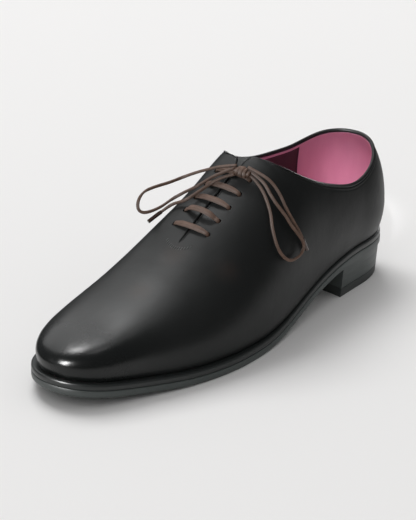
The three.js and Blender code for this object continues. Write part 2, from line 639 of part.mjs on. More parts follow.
// A round cord along rows of a lace table
function cordGeometry(rows) {
  const path = new THREE.CatmullRomCurve3(
    rows.map(({ at, across, up }) => placed(new THREE.Vector2(BALL_WIDTH * across, LAST_LENGTH * at), INSTEP_RISE * up)),
  );
  const ring = new THREE.Shape();
  ring.absarc(0, 0, CORD_RADIUS, 0, 2 * Math.PI);
  return new THREE.ExtrudeGeometry(ring, { extrudePath: path, steps: rows.length * 2, curveSegments: 4, bevelEnabled: false });
}

// The knot of the bow, over the top pair of eyelets
function knotGeometry() {
  const turn = turnOf(LACE_KNOT);
  const level = levelFromRidge(turn, KNOT_ACROSS);
  const ball = new THREE.SphereGeometry(1, 16, 10);
  ball.scale(...KNOT_HALF);
  ball.applyQuaternion(new THREE.Quaternion().setFromUnitVectors(new THREE.Vector3(0, 0, 1), lastNormal(turn, level)));
  const clear = KNOT_HALF[2] + SEAT_GAP + KNOT_LIFT;
  ball.translate(...inside(turn, level, -clear));
  return ball;
}

// Holes through both facings, square to the leather
function eyeletCutter(at, side) {
  const turn = side * turnOf(at);
  const level = levelFromRidge(turn, EYELET_INSET);
  const hole = new THREE.CylinderGeometry(EYELET_RADIUS, EYELET_RADIUS, UPPER_WALL * 3, 12);
  hole.applyQuaternion(new THREE.Quaternion().setFromUnitVectors(new THREE.Vector3(0, 1, 0), lastNormal(turn, level)));
  hole.translate(...inside(turn, level, UPPER_WALL / 2));
  return hole;
}

const eyeletPlaces = Array.from(
  { length: EYELET_PAIRS },
  (_, i) => FIRST_EYELET + ((LAST_EYELET - FIRST_EYELET) * i) / (EYELET_PAIRS - 1),
);

const leather = new THREE.MeshStandardMaterial({ color: 0x242625, roughness: 0.32, metalness: 0 });
const soleEdge = new THREE.MeshStandardMaterial({ color: 0x2b302e, roughness: 0.5, metalness: 0 });
const lace = new THREE.MeshStandardMaterial({ color: 0x6b5449, roughness: 0.6, metalness: 0 });
const lining = new THREE.MeshStandardMaterial({ color: 0xb65c86, roughness: 0.6, metalness: 0 });

const shoe = new THREE.Group();
function add(name, geometry, material) {
  const mesh = new THREE.Mesh(geometry, material);
  mesh.name = name;
  shoe.add(mesh);
}

const eyelets = eyeletPlaces.flatMap((at) => [eyeletCutter(at, 1), eyeletCutter(at, -1)]);
add('upper', cut(upperGeometry(), eyelets), leather);
add('welt', weltGeometry(), soleEdge);
add('outsole', outsoleGeometry(), soleEdge);
add('heel_stack', heelStackGeometry(), soleEdge);
add('top_lift', topLiftGeometry(), soleEdge);
add('insole', insoleGeometry(), lining);
add('tongue', tongueGeometry(), leather);
eyeletPlaces.forEach((at, i) => add(`lace_bar_${i + 1}`, laceBarGeometry(at), lace));
add('lace_knot', knotGeometry(), lace);
add('lace_loop_outer', cordGeometry(OUTER_LOOP), lace);
add('lace_loop_inner', cordGeometry(INNER_LOOP), lace);
add('lace_end_outer', cordGeometry(OUTER_END), lace);
add('lace_end_inner', cordGeometry(INNER_END), lace);

export default shoe;
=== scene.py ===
import math

import bmesh
import bpy
import numpy as np
from mathutils import Matrix, Vector


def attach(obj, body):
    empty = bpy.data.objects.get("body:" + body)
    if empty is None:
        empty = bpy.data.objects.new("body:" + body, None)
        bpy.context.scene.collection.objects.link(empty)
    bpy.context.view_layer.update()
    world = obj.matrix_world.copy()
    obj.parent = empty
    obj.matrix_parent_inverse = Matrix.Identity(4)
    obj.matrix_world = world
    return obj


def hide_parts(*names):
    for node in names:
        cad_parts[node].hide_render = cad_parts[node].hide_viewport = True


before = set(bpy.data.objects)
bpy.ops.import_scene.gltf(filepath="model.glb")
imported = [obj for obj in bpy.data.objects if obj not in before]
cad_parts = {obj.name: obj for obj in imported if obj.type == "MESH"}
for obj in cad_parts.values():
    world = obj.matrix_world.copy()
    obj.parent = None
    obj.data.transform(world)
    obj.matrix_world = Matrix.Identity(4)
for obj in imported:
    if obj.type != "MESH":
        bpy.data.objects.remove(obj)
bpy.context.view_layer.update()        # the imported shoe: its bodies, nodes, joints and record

# The last: the wooden form that the upper is pulled over. It leaves the shoe before it is worn, but every
# leather piece takes its shape from it. Sizes are in metres, and the tables hold shares of these sizes.
LAST_LENGTH = 0.294
BALL_WIDTH = 0.090
INSTEP_RISE = 0.079
BACK_RISE = 0.061
HEEL_HEIGHT = 0.021
TOE_SPRING = 0.0085
HEEL_MIDDLE = 0.031
OUTSOLE_THICK = 0.0046
WELT_THICK = 0.0038
SEAT_GAP = 0.0003
HEEL_CURVE_FROM, TOE_CURVE_FROM = 0.13, 0.85
HEEL_ROUND, TOE_ROUND = 2.15, 2.2
FAN_HEEL, FAN_TOE = 0.16, 0.915
SHANK_FROM, SHANK_TO, SPRING_FROM = 0.15, 0.56, 0.7
SPRING_POWER = 1.7
SLOPE_STEP = 1e-3
HALVINGS = 30

OUTLINE_COLUMNS = ("middle", "half", "out_swell", "in_swell", "swell_up")
OUTLINE = {
    0.00: (0.006, 0.318, 0.04, 0.04, 0.21),
    0.12: (0.006, 0.324, 0.035, 0.035, 0.21),
    0.20: (0.017, 0.34, 0.035, 0.045, 0.23),
    0.30: (0.046, 0.344, 0.04, 0.08, 0.25),
    0.40: (0.085, 0.357, 0.04, 0.1, 0.26),
    0.48: (0.104, 0.384, 0.035, 0.09, 0.24),
    0.56: (0.088, 0.431, 0.03, 0.07, 0.21),
    0.64: (0.039, 0.487, 0.022, 0.035, 0.18),
    0.72: (-0.008, 0.4995, 0.02, 0.025, 0.15),
    0.80: (-0.037, 0.461, 0.018, 0.02, 0.13),
    0.88: (-0.05, 0.389, 0.016, 0.016, 0.11),
    1.00: (-0.011, 0.34, 0.014, 0.014, 0.08),
}
CROWN_COLUMNS = ("rise", "ridge", "out_wall", "out_crown", "in_wall", "in_crown")
CROWN = {
    0.00: (1.0, 0, 0.56, 0.6, 0.56, 0.6),
    0.12: (1.05, 0, 0.56, 0.6, 0.56, 0.6),
    0.20: (1.12, 0, 0.54, 0.58, 0.54, 0.58),
    0.30: (1.19, -0.015, 0.58, 0.62, 0.6, 0.64),
    0.40: (1.19, -0.045, 0.6, 0.7, 0.68, 0.76),
    0.48: (1.065, -0.07, 0.6, 0.72, 0.7, 0.84),
    0.56: (0.91, -0.06, 0.57, 0.7, 0.68, 0.84),
    0.64: (0.73, -0.02, 0.54, 0.64, 0.62, 0.76),
    0.72: (0.575, 0, 0.56, 0.62, 0.57, 0.64),
    0.80: (0.45, 0, 0.66, 0.68, 0.6, 0.6),
    0.88: (0.34, 0, 0.76, 0.74, 0.68, 0.62),
    1.00: (0.2, 0, 0.74, 0.74, 0.66, 0.64),
}


def curve_through(rows):
    """A natural cubic spline through the rows of a table, from a place along the last to the value there."""
    at, value = np.array(list(rows)), np.array(list(rows.values()))
    gap = np.diff(at)
    slope = np.diff(value) / gap
    system, right = np.eye(len(at)), np.zeros(len(at))
    for i in range(1, len(at) - 1):
        system[i, i - 1:i + 2] = gap[i - 1], 2 * (gap[i - 1] + gap[i]), gap[i]
        right[i] = 6 * (slope[i] - slope[i - 1])
    bend = np.linalg.solve(system, right)

    def value_at(place):
        place = np.clip(place, at[0], at[-1])
        i = np.clip(np.searchsorted(at, place) - 1, 0, len(gap) - 1)
        left = (at[i + 1] - place) / gap[i]
        right = 1 - left
        curved = (left**3 - left) * bend[i] + (right**3 - right) * bend[i + 1]
        return left * value[i] + right * value[i + 1] + curved * gap[i] ** 2 / 6

    return value_at


def smooth(x):
    x = np.clip(x, 0, 1)
    return x * x * (3 - 2 * x)


form = {}
for columns, table in ((OUTLINE_COLUMNS, OUTLINE), (CROWN_COLUMNS, CROWN)):
    for i, name in enumerate(columns):
        form[name] = curve_through({at: row[i] for at, row in table.items()})


def sole_under(along):
    at = along / LAST_LENGTH
    shank = 1 - smooth((at - SHANK_FROM) / (SHANK_TO - SHANK_FROM))
    spring = np.maximum(0, (at - SPRING_FROM) / (1 - SPRING_FROM)) ** SPRING_POWER
    return HEEL_HEIGHT * shank + TOE_SPRING * spring


def outsole_top(along):
    return sole_under(along) + OUTSOLE_THICK


def welt_top(along):
    return outsole_top(along) + SEAT_GAP + WELT_THICK


def feather(along):
    return welt_top(along) + SEAT_GAP


def roof(along):
    return feather(along) + INSTEP_RISE * form["rise"](along / LAST_LENGTH)


def along_of(turn):
    """The share along the last of a turn. The share is 0 at the heel and 1 at the toe, and a turn is 0 at the
    toe and 1 or -1 at the heel."""
    return (1 + np.cos(np.pi * turn)) / 2


def turn_of(at):
    return np.arccos(np.clip(2 * np.asarray(at) - 1, -1, 1)) / np.pi


def closing(at):
    toe = np.maximum(0, (at - TOE_CURVE_FROM) / (1 - TOE_CURVE_FROM)) ** TOE_ROUND
    heel = np.maximum(0, (HEEL_CURVE_FROM - at) / HEEL_CURVE_FROM) ** HEEL_ROUND
    return np.maximum(0, 1 - toe) ** (1 / TOE_ROUND) * np.maximum(0, 1 - heel) ** (1 / HEEL_ROUND)


def feather_point(turn):
    at = along_of(turn)
    half = np.sign(np.sin(np.pi * turn)) * form["half"](at) * closing(at)
    return np.stack([BALL_WIDTH * (form["middle"](at) + half), LAST_LENGTH * at], -1)


def outward(turn):
    way = feather_point(turn + SLOPE_STEP) - feather_point(turn - SLOPE_STEP)
    way /= np.linalg.norm(way, axis=-1, keepdims=True)
    return np.stack([-way[..., 1], way[..., 0]], -1)


def placed(plan, height):
    """World places of plan points, x across and y along from the back of the heel, at their heights."""
    return np.stack([plan[..., 0], HEEL_MIDDLE - plan[..., 1], height + 0 * plan[..., 0]], -1)


def last_point(turn, level):
    """A point of the last. Level -1 is the feather line, 0 the widest line and 1 the ridge."""
    turn, level = np.broadcast_arrays(np.asarray(turn, float), np.asarray(level, float))
    at = along_of(turn)
    outer = np.sin(np.pi * turn) > 0
    foot = feather_point(turn)
    swell = BALL_WIDTH * np.where(outer, form["out_swell"](at), form["in_swell"](at))
    wide = foot + outward(turn) * swell[..., None]
    low = feather(foot[..., 1])
    wide_height = low + BALL_WIDTH * form["swell_up"](at)
    low_plan = foot + (wide - foot) * (1 - level**2)[..., None]
    low_height = low + (wide_height - low) * (1 + level)
    hub = np.clip(at, FAN_HEEL, FAN_TOE)
    top = np.stack([BALL_WIDTH * (form["middle"](hub) + form["ridge"](hub)), LAST_LENGTH * hub], -1)
    wall = np.where(outer, form["out_wall"](at), form["in_wall"](at))
    crown = np.where(outer, form["out_crown"](at), form["in_crown"](at))
    left = 1 - level
    reach = left**3 + 3 * left**2 * level + 3 * left * level**2 * crown
    lift = 3 * left**2 * level * wall + 3 * left * level**2 + level**3
    high_plan = top + (wide - top) * reach[..., None]
    high_height = wide_height + (roof(high_plan[..., 1]) - wide_height) * lift
    below = level <= 0
    return placed(np.where(below[..., None], low_plan, high_plan), np.where(below, low_height, high_height))


def last_normal(turn, level):
    turn, level = np.broadcast_arrays(np.asarray(turn, float), np.asarray(level, float))
    near = np.minimum(level, 1 - SLOPE_STEP)
    round_way = last_point(turn + SLOPE_STEP, near) - last_point(turn - SLOPE_STEP, near)
    up_way = last_point(turn, near + SLOPE_STEP) - last_point(turn, near - SLOPE_STEP)
    normal = np.cross(round_way, up_way)
    along = LAST_LENGTH * np.clip(along_of(turn), FAN_HEEL, FAN_TOE)
    slope = (roof(along + SLOPE_STEP) - roof(along - SLOPE_STEP)) / (2 * SLOPE_STEP)
    ridge = np.stack([0 * slope, slope, 1 + 0 * slope], -1)
    normal = np.where((level > 1 - SLOPE_STEP)[..., None], ridge, normal)
    return normal / np.linalg.norm(normal, axis=-1, keepdims=True)


def off_last(turn, level, depth):
    """A point that lies depth inside the last's surface, or outside it where depth is below 0."""
    return last_point(turn, level) - np.asarray(depth)[..., None] * last_normal(turn, level)


def level_where(measure, turn):
    """The level, from 0 to 1, at which a rising measure passes 0."""
    low, high = np.zeros_like(turn), np.ones_like(turn)
    for _ in range(HALVINGS):
        middle = (low + high) / 2
        short = measure(middle) < 0
        low, high = np.where(short, middle, low), np.where(short, high, middle)
    return high


def level_from_ridge(turn, distance):
    """The level at which a ray is the given distance from the ridge."""
    turn = np.asarray(turn, float)
    ridge = last_point(turn, 1.0)

    def past(level):
        return distance - np.linalg.norm(last_point(turn, level) - ridge, axis=-1)

    return level_where(past, turn)


# Calf upper: one hide with no side seams, lasted wet, closed up the back and slit down the instep. Its top
# edge is turned over a cord into a bead, with a stitch line under it. The toe is polished like a mirror.
CALF_THICK = 0.0012
UPPER_WALL = 0.0022
SLIT_HALF = 0.0005
SLIT_FRONT, FIRST_EYELET, LAST_EYELET = 0.628, 0.597, 0.465
EYELET_PAIRS = 5
EYELET_INSET = 0.013
EYELET_RADIUS = 0.0018
PUNCH_SIDES = 20
CORNER_SHARPNESS = 14
SHARE_SHARPNESS = 120
SLIT_EDGE_HALF = 0.0005
BEAD_HIGH, SLIT_BEAD_HIGH = 0.0021, 0.0013
BEAD_PROUD, SLIT_BEAD_PROUD = 0.00030, 0.00026
GROOVE_DEEP, GROOVE_WIDE = 0.00030, 0.00040
SLIT_GROOVE_SHARE = 0.3
TRIM_LINE, TRIM_DEEP, TRIM_WIDE = 0.0040, 0.00012, 0.00045
EDGE_ZONE, EDGE_ZONE_SHARE = 0.007, 0.4
COLUMNS = 336
CROWDING = 0.3
TOPLINE = {  # the edge over the feather line, in shares of BACK_RISE, on the outer and on the inner side
    0.00: (1.02, 1.02), 0.04: (0.95, 0.995), 0.07: (0.87, 0.95), 0.11: (0.78, 0.89),
    0.15: (0.73, 0.868), 0.20: (0.76, 0.892), 0.24: (0.845, 0.936), 0.29: (0.985, 1.032),
    0.33: (1.125, 1.15), 0.37: (1.285, 1.305), 0.40: (1.42, 1.42), 0.43: (1.58, 1.5),
    0.46: (1.84, 1.68), 0.50: (2.3, 2.3),
}
BACK_BLEND = 0.16
topline_outer = curve_through({at: row[0] for at, row in TOPLINE.items()})
topline_inner = curve_through({at: row[1] for at, row in TOPLINE.items()})


def upper_edge(turn):
    """The level where the upper ends: the ridge ahead of the slit, then the slit's edge, then the topline.
    Also how far each ray belongs to the topline, from 0 on the slit to 1."""
    def over_topline(level):
        point = last_point(turn, level)
        along = HEEL_MIDDLE - point[..., 1]
        outer = (1 + np.sign(turn) * smooth((1 - np.abs(turn)) / BACK_BLEND)) / 2
        inner_up, outer_up = topline_inner(along / LAST_LENGTH), topline_outer(along / LAST_LENGTH)
        return point[..., 2] - feather(along) - BACK_RISE * (inner_up + (outer_up - inner_up) * outer)

    at = along_of(turn)
    opening = smooth((SLIT_FRONT - at) / (SLIT_FRONT - FIRST_EYELET))
    slit = level_from_ridge(turn, SLIT_HALF * opening)
    spare = np.maximum(0, -over_topline(np.ones_like(turn))) / INSTEP_RISE
    topline = level_where(over_topline, turn) + spare
    both = np.exp(-CORNER_SHARPNESS * slit) + np.exp(-CORNER_SHARPNESS * topline)
    corner = -np.log(both) / CORNER_SHARPNESS
    on_topline = 1 / (1 + np.exp(-SHARE_SHARPNESS * (slit - topline)))
    return np.where(at >= SLIT_FRONT, 1.0, corner), on_topline


def ray_turns(count):
    share = np.linspace(-1, 1, count + 1)
    return share + CROWDING * np.sin(2 * np.pi * share) / (2 * np.pi)


turns = ray_turns(COLUMNS)
edge, on_topline = upper_edge(turns)
climb = np.linalg.norm(last_point(turns, edge) - last_point(turns, edge - SLOPE_STEP), axis=-1) / SLOPE_STEP
open_ray = along_of(turns) < SLIT_FRONT
rim_half = SLIT_EDGE_HALF + (UPPER_WALL / 2 - SLIT_EDGE_HALF) * on_topline
rim_level = edge - np.where(open_ray, rim_half / climb, 0)
rise_way = last_point(turns, rim_level) - last_point(turns, rim_level - SLOPE_STEP)
rise_way /= np.linalg.norm(rise_way, axis=-1, keepdims=True)


def lasted_rows(wall_rows, crown_rows, edge_rows, top):
    """Levels of one skin from the feather line up to the top, close together near the edge."""
    wall = [np.full_like(turns, -1 + i / wall_rows) for i in range(wall_rows)]
    zone = np.minimum(EDGE_ZONE / climb, top * EDGE_ZONE_SHARE)
    crown = [(top - zone) * i / crown_rows for i in range(crown_rows)]
    near = [top - zone * (1 - i / edge_rows) for i in range(edge_rows + 1)]
    return np.array(wall + crown + near)


# Creases in the calf over the ball: the middle of each along the last and across it, its half length and half
# width, the angle that it is turned by, and how deep it is. A low ridge stands on each side of it.
CREASES = [
    {"along": 0.196, "across": 0.004, "long": 0.026, "wide": 0.0035, "turned": 0.15, "deep": 0.00007},
    {"along": 0.205, "across": -0.012, "long": 0.020, "wide": 0.0030, "turned": -0.1, "deep": 0.00005},
    {"along": 0.214, "across": 0.010, "long": 0.024, "wide": 0.0040, "turned": 0.2, "deep": 0.00006},
    {"along": 0.188, "across": 0.030, "long": 0.012, "wide": 0.0050, "turned": 0.6, "deep": 0.00010},
]
RIDGE_OFF, RIDGE_SHARE = 3, 0.35


def creased(point):
    """How far creases sink the leather at each point."""
    along, across = HEEL_MIDDLE - point[..., 1], point[..., 0]
    sunk = 0 * along
    for crease in CREASES:
        out, off = across - crease["across"], along - crease["along"]
        cos, sin = math.cos(crease["turned"]), math.sin(crease["turned"])
        length, width = out * cos + off * sin, off * cos - out * sin
        fading = np.exp(-((length / crease["long"]) ** 2))
        aside = (width / crease["wide"]) ** 2
        trough = fading * np.exp(-aside)
        ridge = fading * np.exp(-((aside - RIDGE_OFF) ** 2) / 4)
        sunk = sunk + crease["deep"] * (trough - RIDGE_SHARE * ridge)
    return sunk


def bead_at(distance, share):
    """How proud the leather is at a distance from the edge: the bead, the stitch groove under it and the
    fainter line that the turned edge leaves below that. Share is 1 along the topline and 0 along the slit,
    where the bead is narrower."""
    high = SLIT_BEAD_HIGH + (BEAD_HIGH - SLIT_BEAD_HIGH) * share
    proud = SLIT_BEAD_PROUD + (BEAD_PROUD - SLIT_BEAD_PROUD) * share
    bead = proud * np.sqrt(np.clip(1 - ((distance - high / 2) / (high / 2)) ** 2, 0, 1))
    deep = GROOVE_DEEP * (SLIT_GROOVE_SHARE + (1 - SLIT_GROOVE_SHARE) * share)
    groove = deep * np.exp(-(((distance - high) / GROOVE_WIDE) ** 2))
    trim = TRIM_DEEP * share * np.exp(-(((distance - TRIM_LINE) / TRIM_WIDE) ** 2))
    return np.where(distance < high, bead, 0) - groove - trim


MERGE_WITHIN, SLIVER = 2e-6, 1e-7


def draped(places, leave_out=None, closed=True):
    """A mesh from a flat grid whose corners are laid at the given rows and columns of places."""
    rows, columns = places.shape[0] - 1, places.shape[1] - 1
    skin = bmesh.new()
    skin.loops.layers.uv.new("UVMap")
    bmesh.ops.create_grid(skin, x_segments=columns, y_segments=rows, size=0.5, calc_uvs=True)
    if leave_out is not None:
        gone = []
        for face in skin.faces:
            middle = face.calc_center_median()
            if leave_out(int((middle.y + 0.5) * rows), int((middle.x + 0.5) * columns)):
                gone.append(face)
        bmesh.ops.delete(skin, geom=gone, context="FACES")
    for corner in skin.verts:
        corner.co = places[round((corner.co.y + 0.5) * rows), round((corner.co.x + 0.5) * columns)]
    bmesh.ops.remove_doubles(skin, verts=skin.verts, dist=MERGE_WITHIN)
    bmesh.ops.dissolve_degenerate(skin, edges=skin.edges, dist=SLIVER)
    if closed:
        bmesh.ops.holes_fill(skin, edges=skin.edges, sides=0)
        bmesh.ops.recalc_face_normals(skin, faces=skin.faces)
    for face in skin.faces:
        face.smooth = True
    return skin


def piece_of(name, skin, material, sharp=None, replaced=()):
    """Finishes a bmesh as a piece of the shoe. Sharp is the angle in degrees past which an edge shows."""
    mesh = bpy.data.meshes.new(name)
    skin.to_mesh(mesh)
    skin.free()
    if sharp is not None:
        mesh.set_sharp_from_angle(angle=math.radians(sharp))
    piece = bpy.data.objects.new(name, mesh)
    bpy.context.scene.collection.objects.link(piece)
    mesh.materials.append(material)
    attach(piece, "root")
    if replaced:
        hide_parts(*replaced)
    return piece


def put(tree, kind, sockets=None, **settings):
    """Adds a node. A socket takes a number, a colour or another node's output."""
    node = tree.nodes.new(kind)
    for name, value in settings.items():
        setattr(node, name, value)
    for name, value in (sockets or {}).items():
        if isinstance(value, bpy.types.NodeSocket):
            tree.links.new(value, node.inputs[name])
        else:
            node.inputs[name].default_value = value
    return node


def new_material(name):
    material = bpy.data.materials.new(name)
    material.use_nodes = True
    material.node_tree.nodes.clear()
    return material, material.node_tree


def shown(tree, surface):
    out = put(tree, "ShaderNodeOutputMaterial")
    tree.links.new(surface.outputs["BSDF"], out.inputs["Surface"])


def two_tones(tree, share, low, high):
    """A colour that runs from low to high as the share rises."""
    return put(tree, "ShaderNodeMix", {"Factor": share, 6: low, 7: high}, data_type="RGBA").outputs[2]


def new_group(name, inputs, outputs):
    """A node group whose inputs and outputs are named numbers, with its group input and output nodes."""
    group = bpy.data.node_groups.new(name, "ShaderNodeTree")
    for socket, value in inputs.items():
        made = group.interface.new_socket(socket, in_out="INPUT", socket_type="NodeSocketFloat")
        made.default_value = value
    for socket in outputs:
        group.interface.new_socket(socket, in_out="OUTPUT", socket_type="NodeSocketFloat")
    return group, put(group, "NodeGroupInput"), put(group, "NodeGroupOutput")


# Leather grain, shared by all the leathers: fine pores, and a broad unevenness of the skin
grain_group, given, result = new_group(
    "leather_grain", {"Pore size": 0.0008, "Wave size": 0.02}, ("Pores", "Waves"),
)
where = put(grain_group, "ShaderNodeTexCoord").outputs["Object"]
pore_scale = put(grain_group, "ShaderNodeMath", {0: 1.0, 1: given.outputs["Pore size"]}, operation="DIVIDE")
wave_scale = put(grain_group, "ShaderNodeMath", {0: 1.0, 1: given.outputs["Wave size"]}, operation="DIVIDE")
pores = put(grain_group, "ShaderNodeTexVoronoi", {"Vector": where, "Scale": pore_scale.outputs[0]},
            feature="SMOOTH_F1")
waves = put(grain_group, "ShaderNodeTexNoise", {"Vector": where, "Scale": wave_scale.outputs[0],
            "Detail": 3.0})
grain_group.links.new(pores.outputs["Distance"], result.inputs["Pores"])
grain_group.links.new(waves.outputs["Fac"], result.inputs["Waves"])

CALF_BLACK = (0.0065, 0.0078, 0.0075, 1)
CALF_BROWN = (0.024, 0.0135, 0.0095, 1)
RUBBED_SPOTS = [  # where the brown ground shows through the black polish: each spot's middle and its size
    ((0.004, -0.163, 0.062), 0.013), ((0.003, -0.193, 0.050), 0.012), ((0.034, -0.150, 0.055), 0.012),
]
TOE_POLISH_FROM, TOE_POLISH_TO = -0.195, -0.243
BODY_ROUGH, TOE_ROUGH, CLOUD_ROUGH = 0.40, 0.21, 0.10
calf, tree = new_material("polished_calf")
where = put(tree, "ShaderNodeTexCoord").outputs["Object"]
grain = put(tree, "ShaderNodeGroup", {"Pore size": 0.0009, "Wave size": 0.018}, node_tree=grain_group)
patches = put(tree, "ShaderNodeTexNoise", {"Vector": where, "Scale": 60.0, "Detail": 3.0, "Roughness": 0.6})
rubbed = 0.0
for middle, size in RUBBED_SPOTS:
    away = put(tree, "ShaderNodeVectorMath", {0: where, 1: middle}, operation="DISTANCE")
    spot = put(tree, "ShaderNodeMapRange", {"Value": away.outputs["Value"], "From Min": size,
               "From Max": 0.0}, interpolation_type="SMOOTHSTEP")
    rubbed = put(tree, "ShaderNodeMath", {0: rubbed, 1: spot.outputs["Result"]},
                 operation="MAXIMUM").outputs[0]
patch_mask = put(tree, "ShaderNodeMath", {0: rubbed, 1: patches.outputs["Fac"]}, operation="MULTIPLY")
split = put(tree, "ShaderNodeSeparateXYZ", {0: where})
polish = put(tree, "ShaderNodeMapRange", {"Value": split.outputs["Y"], "From Min": TOE_POLISH_FROM,
             "From Max": TOE_POLISH_TO, "To Min": BODY_ROUGH, "To Max": TOE_ROUGH},
             interpolation_type="SMOOTHSTEP")
cloud = put(tree, "ShaderNodeMath", {0: grain.outputs["Waves"], 1: CLOUD_ROUGH, 2: polish.outputs["Result"]},
            operation="MULTIPLY_ADD")
pore_bump = put(tree, "ShaderNodeBump", {"Height": grain.outputs["Pores"], "Strength": 0.25,
                "Distance": 0.00006})
wave_bump = put(tree, "ShaderNodeBump", {"Height": grain.outputs["Waves"], "Strength": 0.5,
                "Distance": 0.0006, "Normal": pore_bump.outputs["Normal"]})
shader = put(tree, "ShaderNodeBsdfPrincipled", {
    "Base Color": two_tones(tree, patch_mask.outputs[0], CALF_BLACK, CALF_BROWN),
    "Roughness": cloud.outputs[0], "Normal": wave_bump.outputs["Normal"], "Specular IOR Level": 0.36,
})
shown(tree, shader)

outer_levels = lasted_rows(10, 44, 26, rim_level)
below_edge = np.maximum(0, (edge - outer_levels) * climb)
lasted = last_point(turns, outer_levels)
lift = np.where(open_ray & (outer_levels > 0), bead_at(below_edge, on_topline), 0) - creased(lasted)
outer_skin = lasted + lift[..., None] * last_normal(turns, outer_levels)

RIM_STEPS = 8
FOLD_DOWN = 0.0006
rim = []
for i in range(1, RIM_STEPS):
    angle = math.pi * i / RIM_STEPS
    over = rim_half * (1 - math.cos(angle))
    raised = np.where(open_ray, rim_half * math.sin(angle), 0)
    rim.append(off_last(turns, rim_level, over) + raised[:, None] * rise_way)

inner_levels = lasted_rows(6, 14, 10, rim_level)[::-1]
under_edge = np.maximum(0, (rim_level - inner_levels) * climb)
folded = CALF_THICK + (2 * rim_half - CALF_THICK) * (1 - smooth((under_edge - FOLD_DOWN) / FOLD_DOWN))
inner_depth = np.where(open_ray, folded, CALF_THICK)
inner_skin = off_last(turns, inner_levels, inner_depth)
upper_places = np.concatenate([outer_skin, rim, inner_skin, outer_skin[:1]])
rim_from, rim_to = len(outer_skin) - 1, len(outer_skin) + RIM_STEPS - 1


def between_ridges(row, column):
    """The rim has no faces ahead of the slit, where both sides of the hide are one."""
    return rim_from <= row < rim_to and not (open_ray[column] or open_ray[column + 1])


calf_skin = draped(upper_places, leave_out=between_ridges)
calf_upper = piece_of("calf_upper", calf_skin, calf, replaced=["upper"])
eyelet_places = np.linspace(FIRST_EYELET, LAST_EYELET, EYELET_PAIRS)


def punched(piece):
    """Punches the ten eyelet holes through a piece, square to the leather."""
    punch = bmesh.new()
    for at in eyelet_places:
        for side in (-1, 1):
            turn = np.array([side * turn_of(at)])
            level = level_from_ridge(turn, EYELET_INSET)
            middle = Vector(off_last(turn, level, np.array([UPPER_WALL / 2]))[0])
            square = Vector(last_normal(turn, level)[0]).to_track_quat("Z", "Y").to_matrix().to_4x4()
            bmesh.ops.create_cone(punch, cap_ends=True, segments=PUNCH_SIDES, radius1=EYELET_RADIUS,
                                  radius2=EYELET_RADIUS, depth=UPPER_WALL * 3,
                                  matrix=Matrix.Translation(middle) @ square)
    punch_mesh = bpy.data.meshes.new("punch")
    punch.to_mesh(punch_mesh)
    punch.free()
    tool = bpy.data.objects.new("punch", punch_mesh)
    bpy.context.scene.collection.objects.link(tool)
    holes = piece.modifiers.new("holes", "BOOLEAN")
    holes.object, holes.operation, holes.solver = tool, "DIFFERENCE", "EXACT"
    ready = piece.evaluated_get(bpy.context.evaluated_depsgraph_get())
    pierced = bpy.data.meshes.new_from_object(ready)
    piece.modifiers.clear()
    piece.data = pierced
    pierced.set_sharp_from_angle(angle=math.radians(50))
    bpy.data.objects.remove(tool)


punched(calf_upper)

# Sock and insole: a leather board that closes the bottom inside, covered with a thin sock of the same dyed
# kid as the heel lining, with its edge pressed down.
INSOLE_THICK = 0.003
INSOLE_ROUND = 0.0008
PINK = (0.78, 0.30, 0.45, 1)


def outline_point(turn, out):
    return feather_point(turn) + outward(turn) * np.asarray(out)[..., None]


def flat_rows(plan, heights, rows):
    """Rows of a level face from the middle line out to a plan outline, each at its own height."""
    at = plan[..., 1] / LAST_LENGTH
    middle = np.stack([BALL_WIDTH * form["middle"](at), plan[..., 1]], -1)
    return [placed(middle + (plan - middle) * i / rows, heights(plan[..., 1])) for i in range(rows)]


def dyed_leather(name, colour, dark):
    """Plain dyed lining leather: two tones that drift into each other, with fine pores."""
    material, tree = new_material(name)
    where = put(tree, "ShaderNodeTexCoord").outputs["Object"]
    grain = put(tree, "ShaderNodeGroup", {"Pore size": 0.0007, "Wave size": 0.012}, node_tree=grain_group)
    streak = put(tree, "ShaderNodeMapping", {"Vector": where, "Scale": (160.0, 160.0, 45.0)})
    drift = put(tree, "ShaderNodeTexNoise", {"Vector": streak.outputs[0], "Scale": 1.0, "Detail": 4.0})
    bump = put(tree, "ShaderNodeBump", {"Height": grain.outputs["Pores"], "Strength": 0.3,
               "Distance": 0.00008})
    shader = put(tree, "ShaderNodeBsdfPrincipled", {
        "Base Color": two_tones(tree, drift.outputs["Fac"], dark, colour), "Roughness": 0.5,
        "Normal": bump.outputs["Normal"],
    })
    shown(tree, shader)
    return material


kid_pink = dyed_leather("pink_kid", PINK, (0.68, 0.23, 0.37, 1))
insole_plan = outline_point(turns, -UPPER_WALL - SEAT_GAP + 0 * turns)
inset_plan = outline_point(turns, -UPPER_WALL - SEAT_GAP - INSOLE_ROUND + 0 * turns)
insole_rows = flat_rows(inset_plan, lambda y: feather(y) + INSOLE_THICK, 8)
insole_rows += [placed(inset_plan, feather(inset_plan[..., 1]) + INSOLE_THICK),
                placed(insole_plan, feather(insole_plan[..., 1]) + INSOLE_THICK - INSOLE_ROUND),
                placed(insole_plan, feather(insole_plan[..., 1]))]
insole_rows += flat_rows(insole_plan, feather, 4)[::-1]
piece_of("sock_and_insole", draped(np.array(insole_rows)), kid_pink, sharp=50,
         replaced=["insole"])

# Linings: the quarters and vamp are lined in dark red kid, with a narrow pink binding along the top. The heel
# has a pink lining laid over it, its front edge folded and sewn down on each side.
LINING_DOWN, SLIT_LINING_DOWN = 0.0009, 0.0006
LINING_CLEAR = 0.00004
HEEL_SEAM = 0.111
HEEL_LINING_CLEAR, HEEL_LINING_PROUD = 0.00002, 0.0004
kid_red = dyed_leather("dark_red_kid", (0.05, 0.012, 0.018, 1), (0.028, 0.006, 0.010, 1))


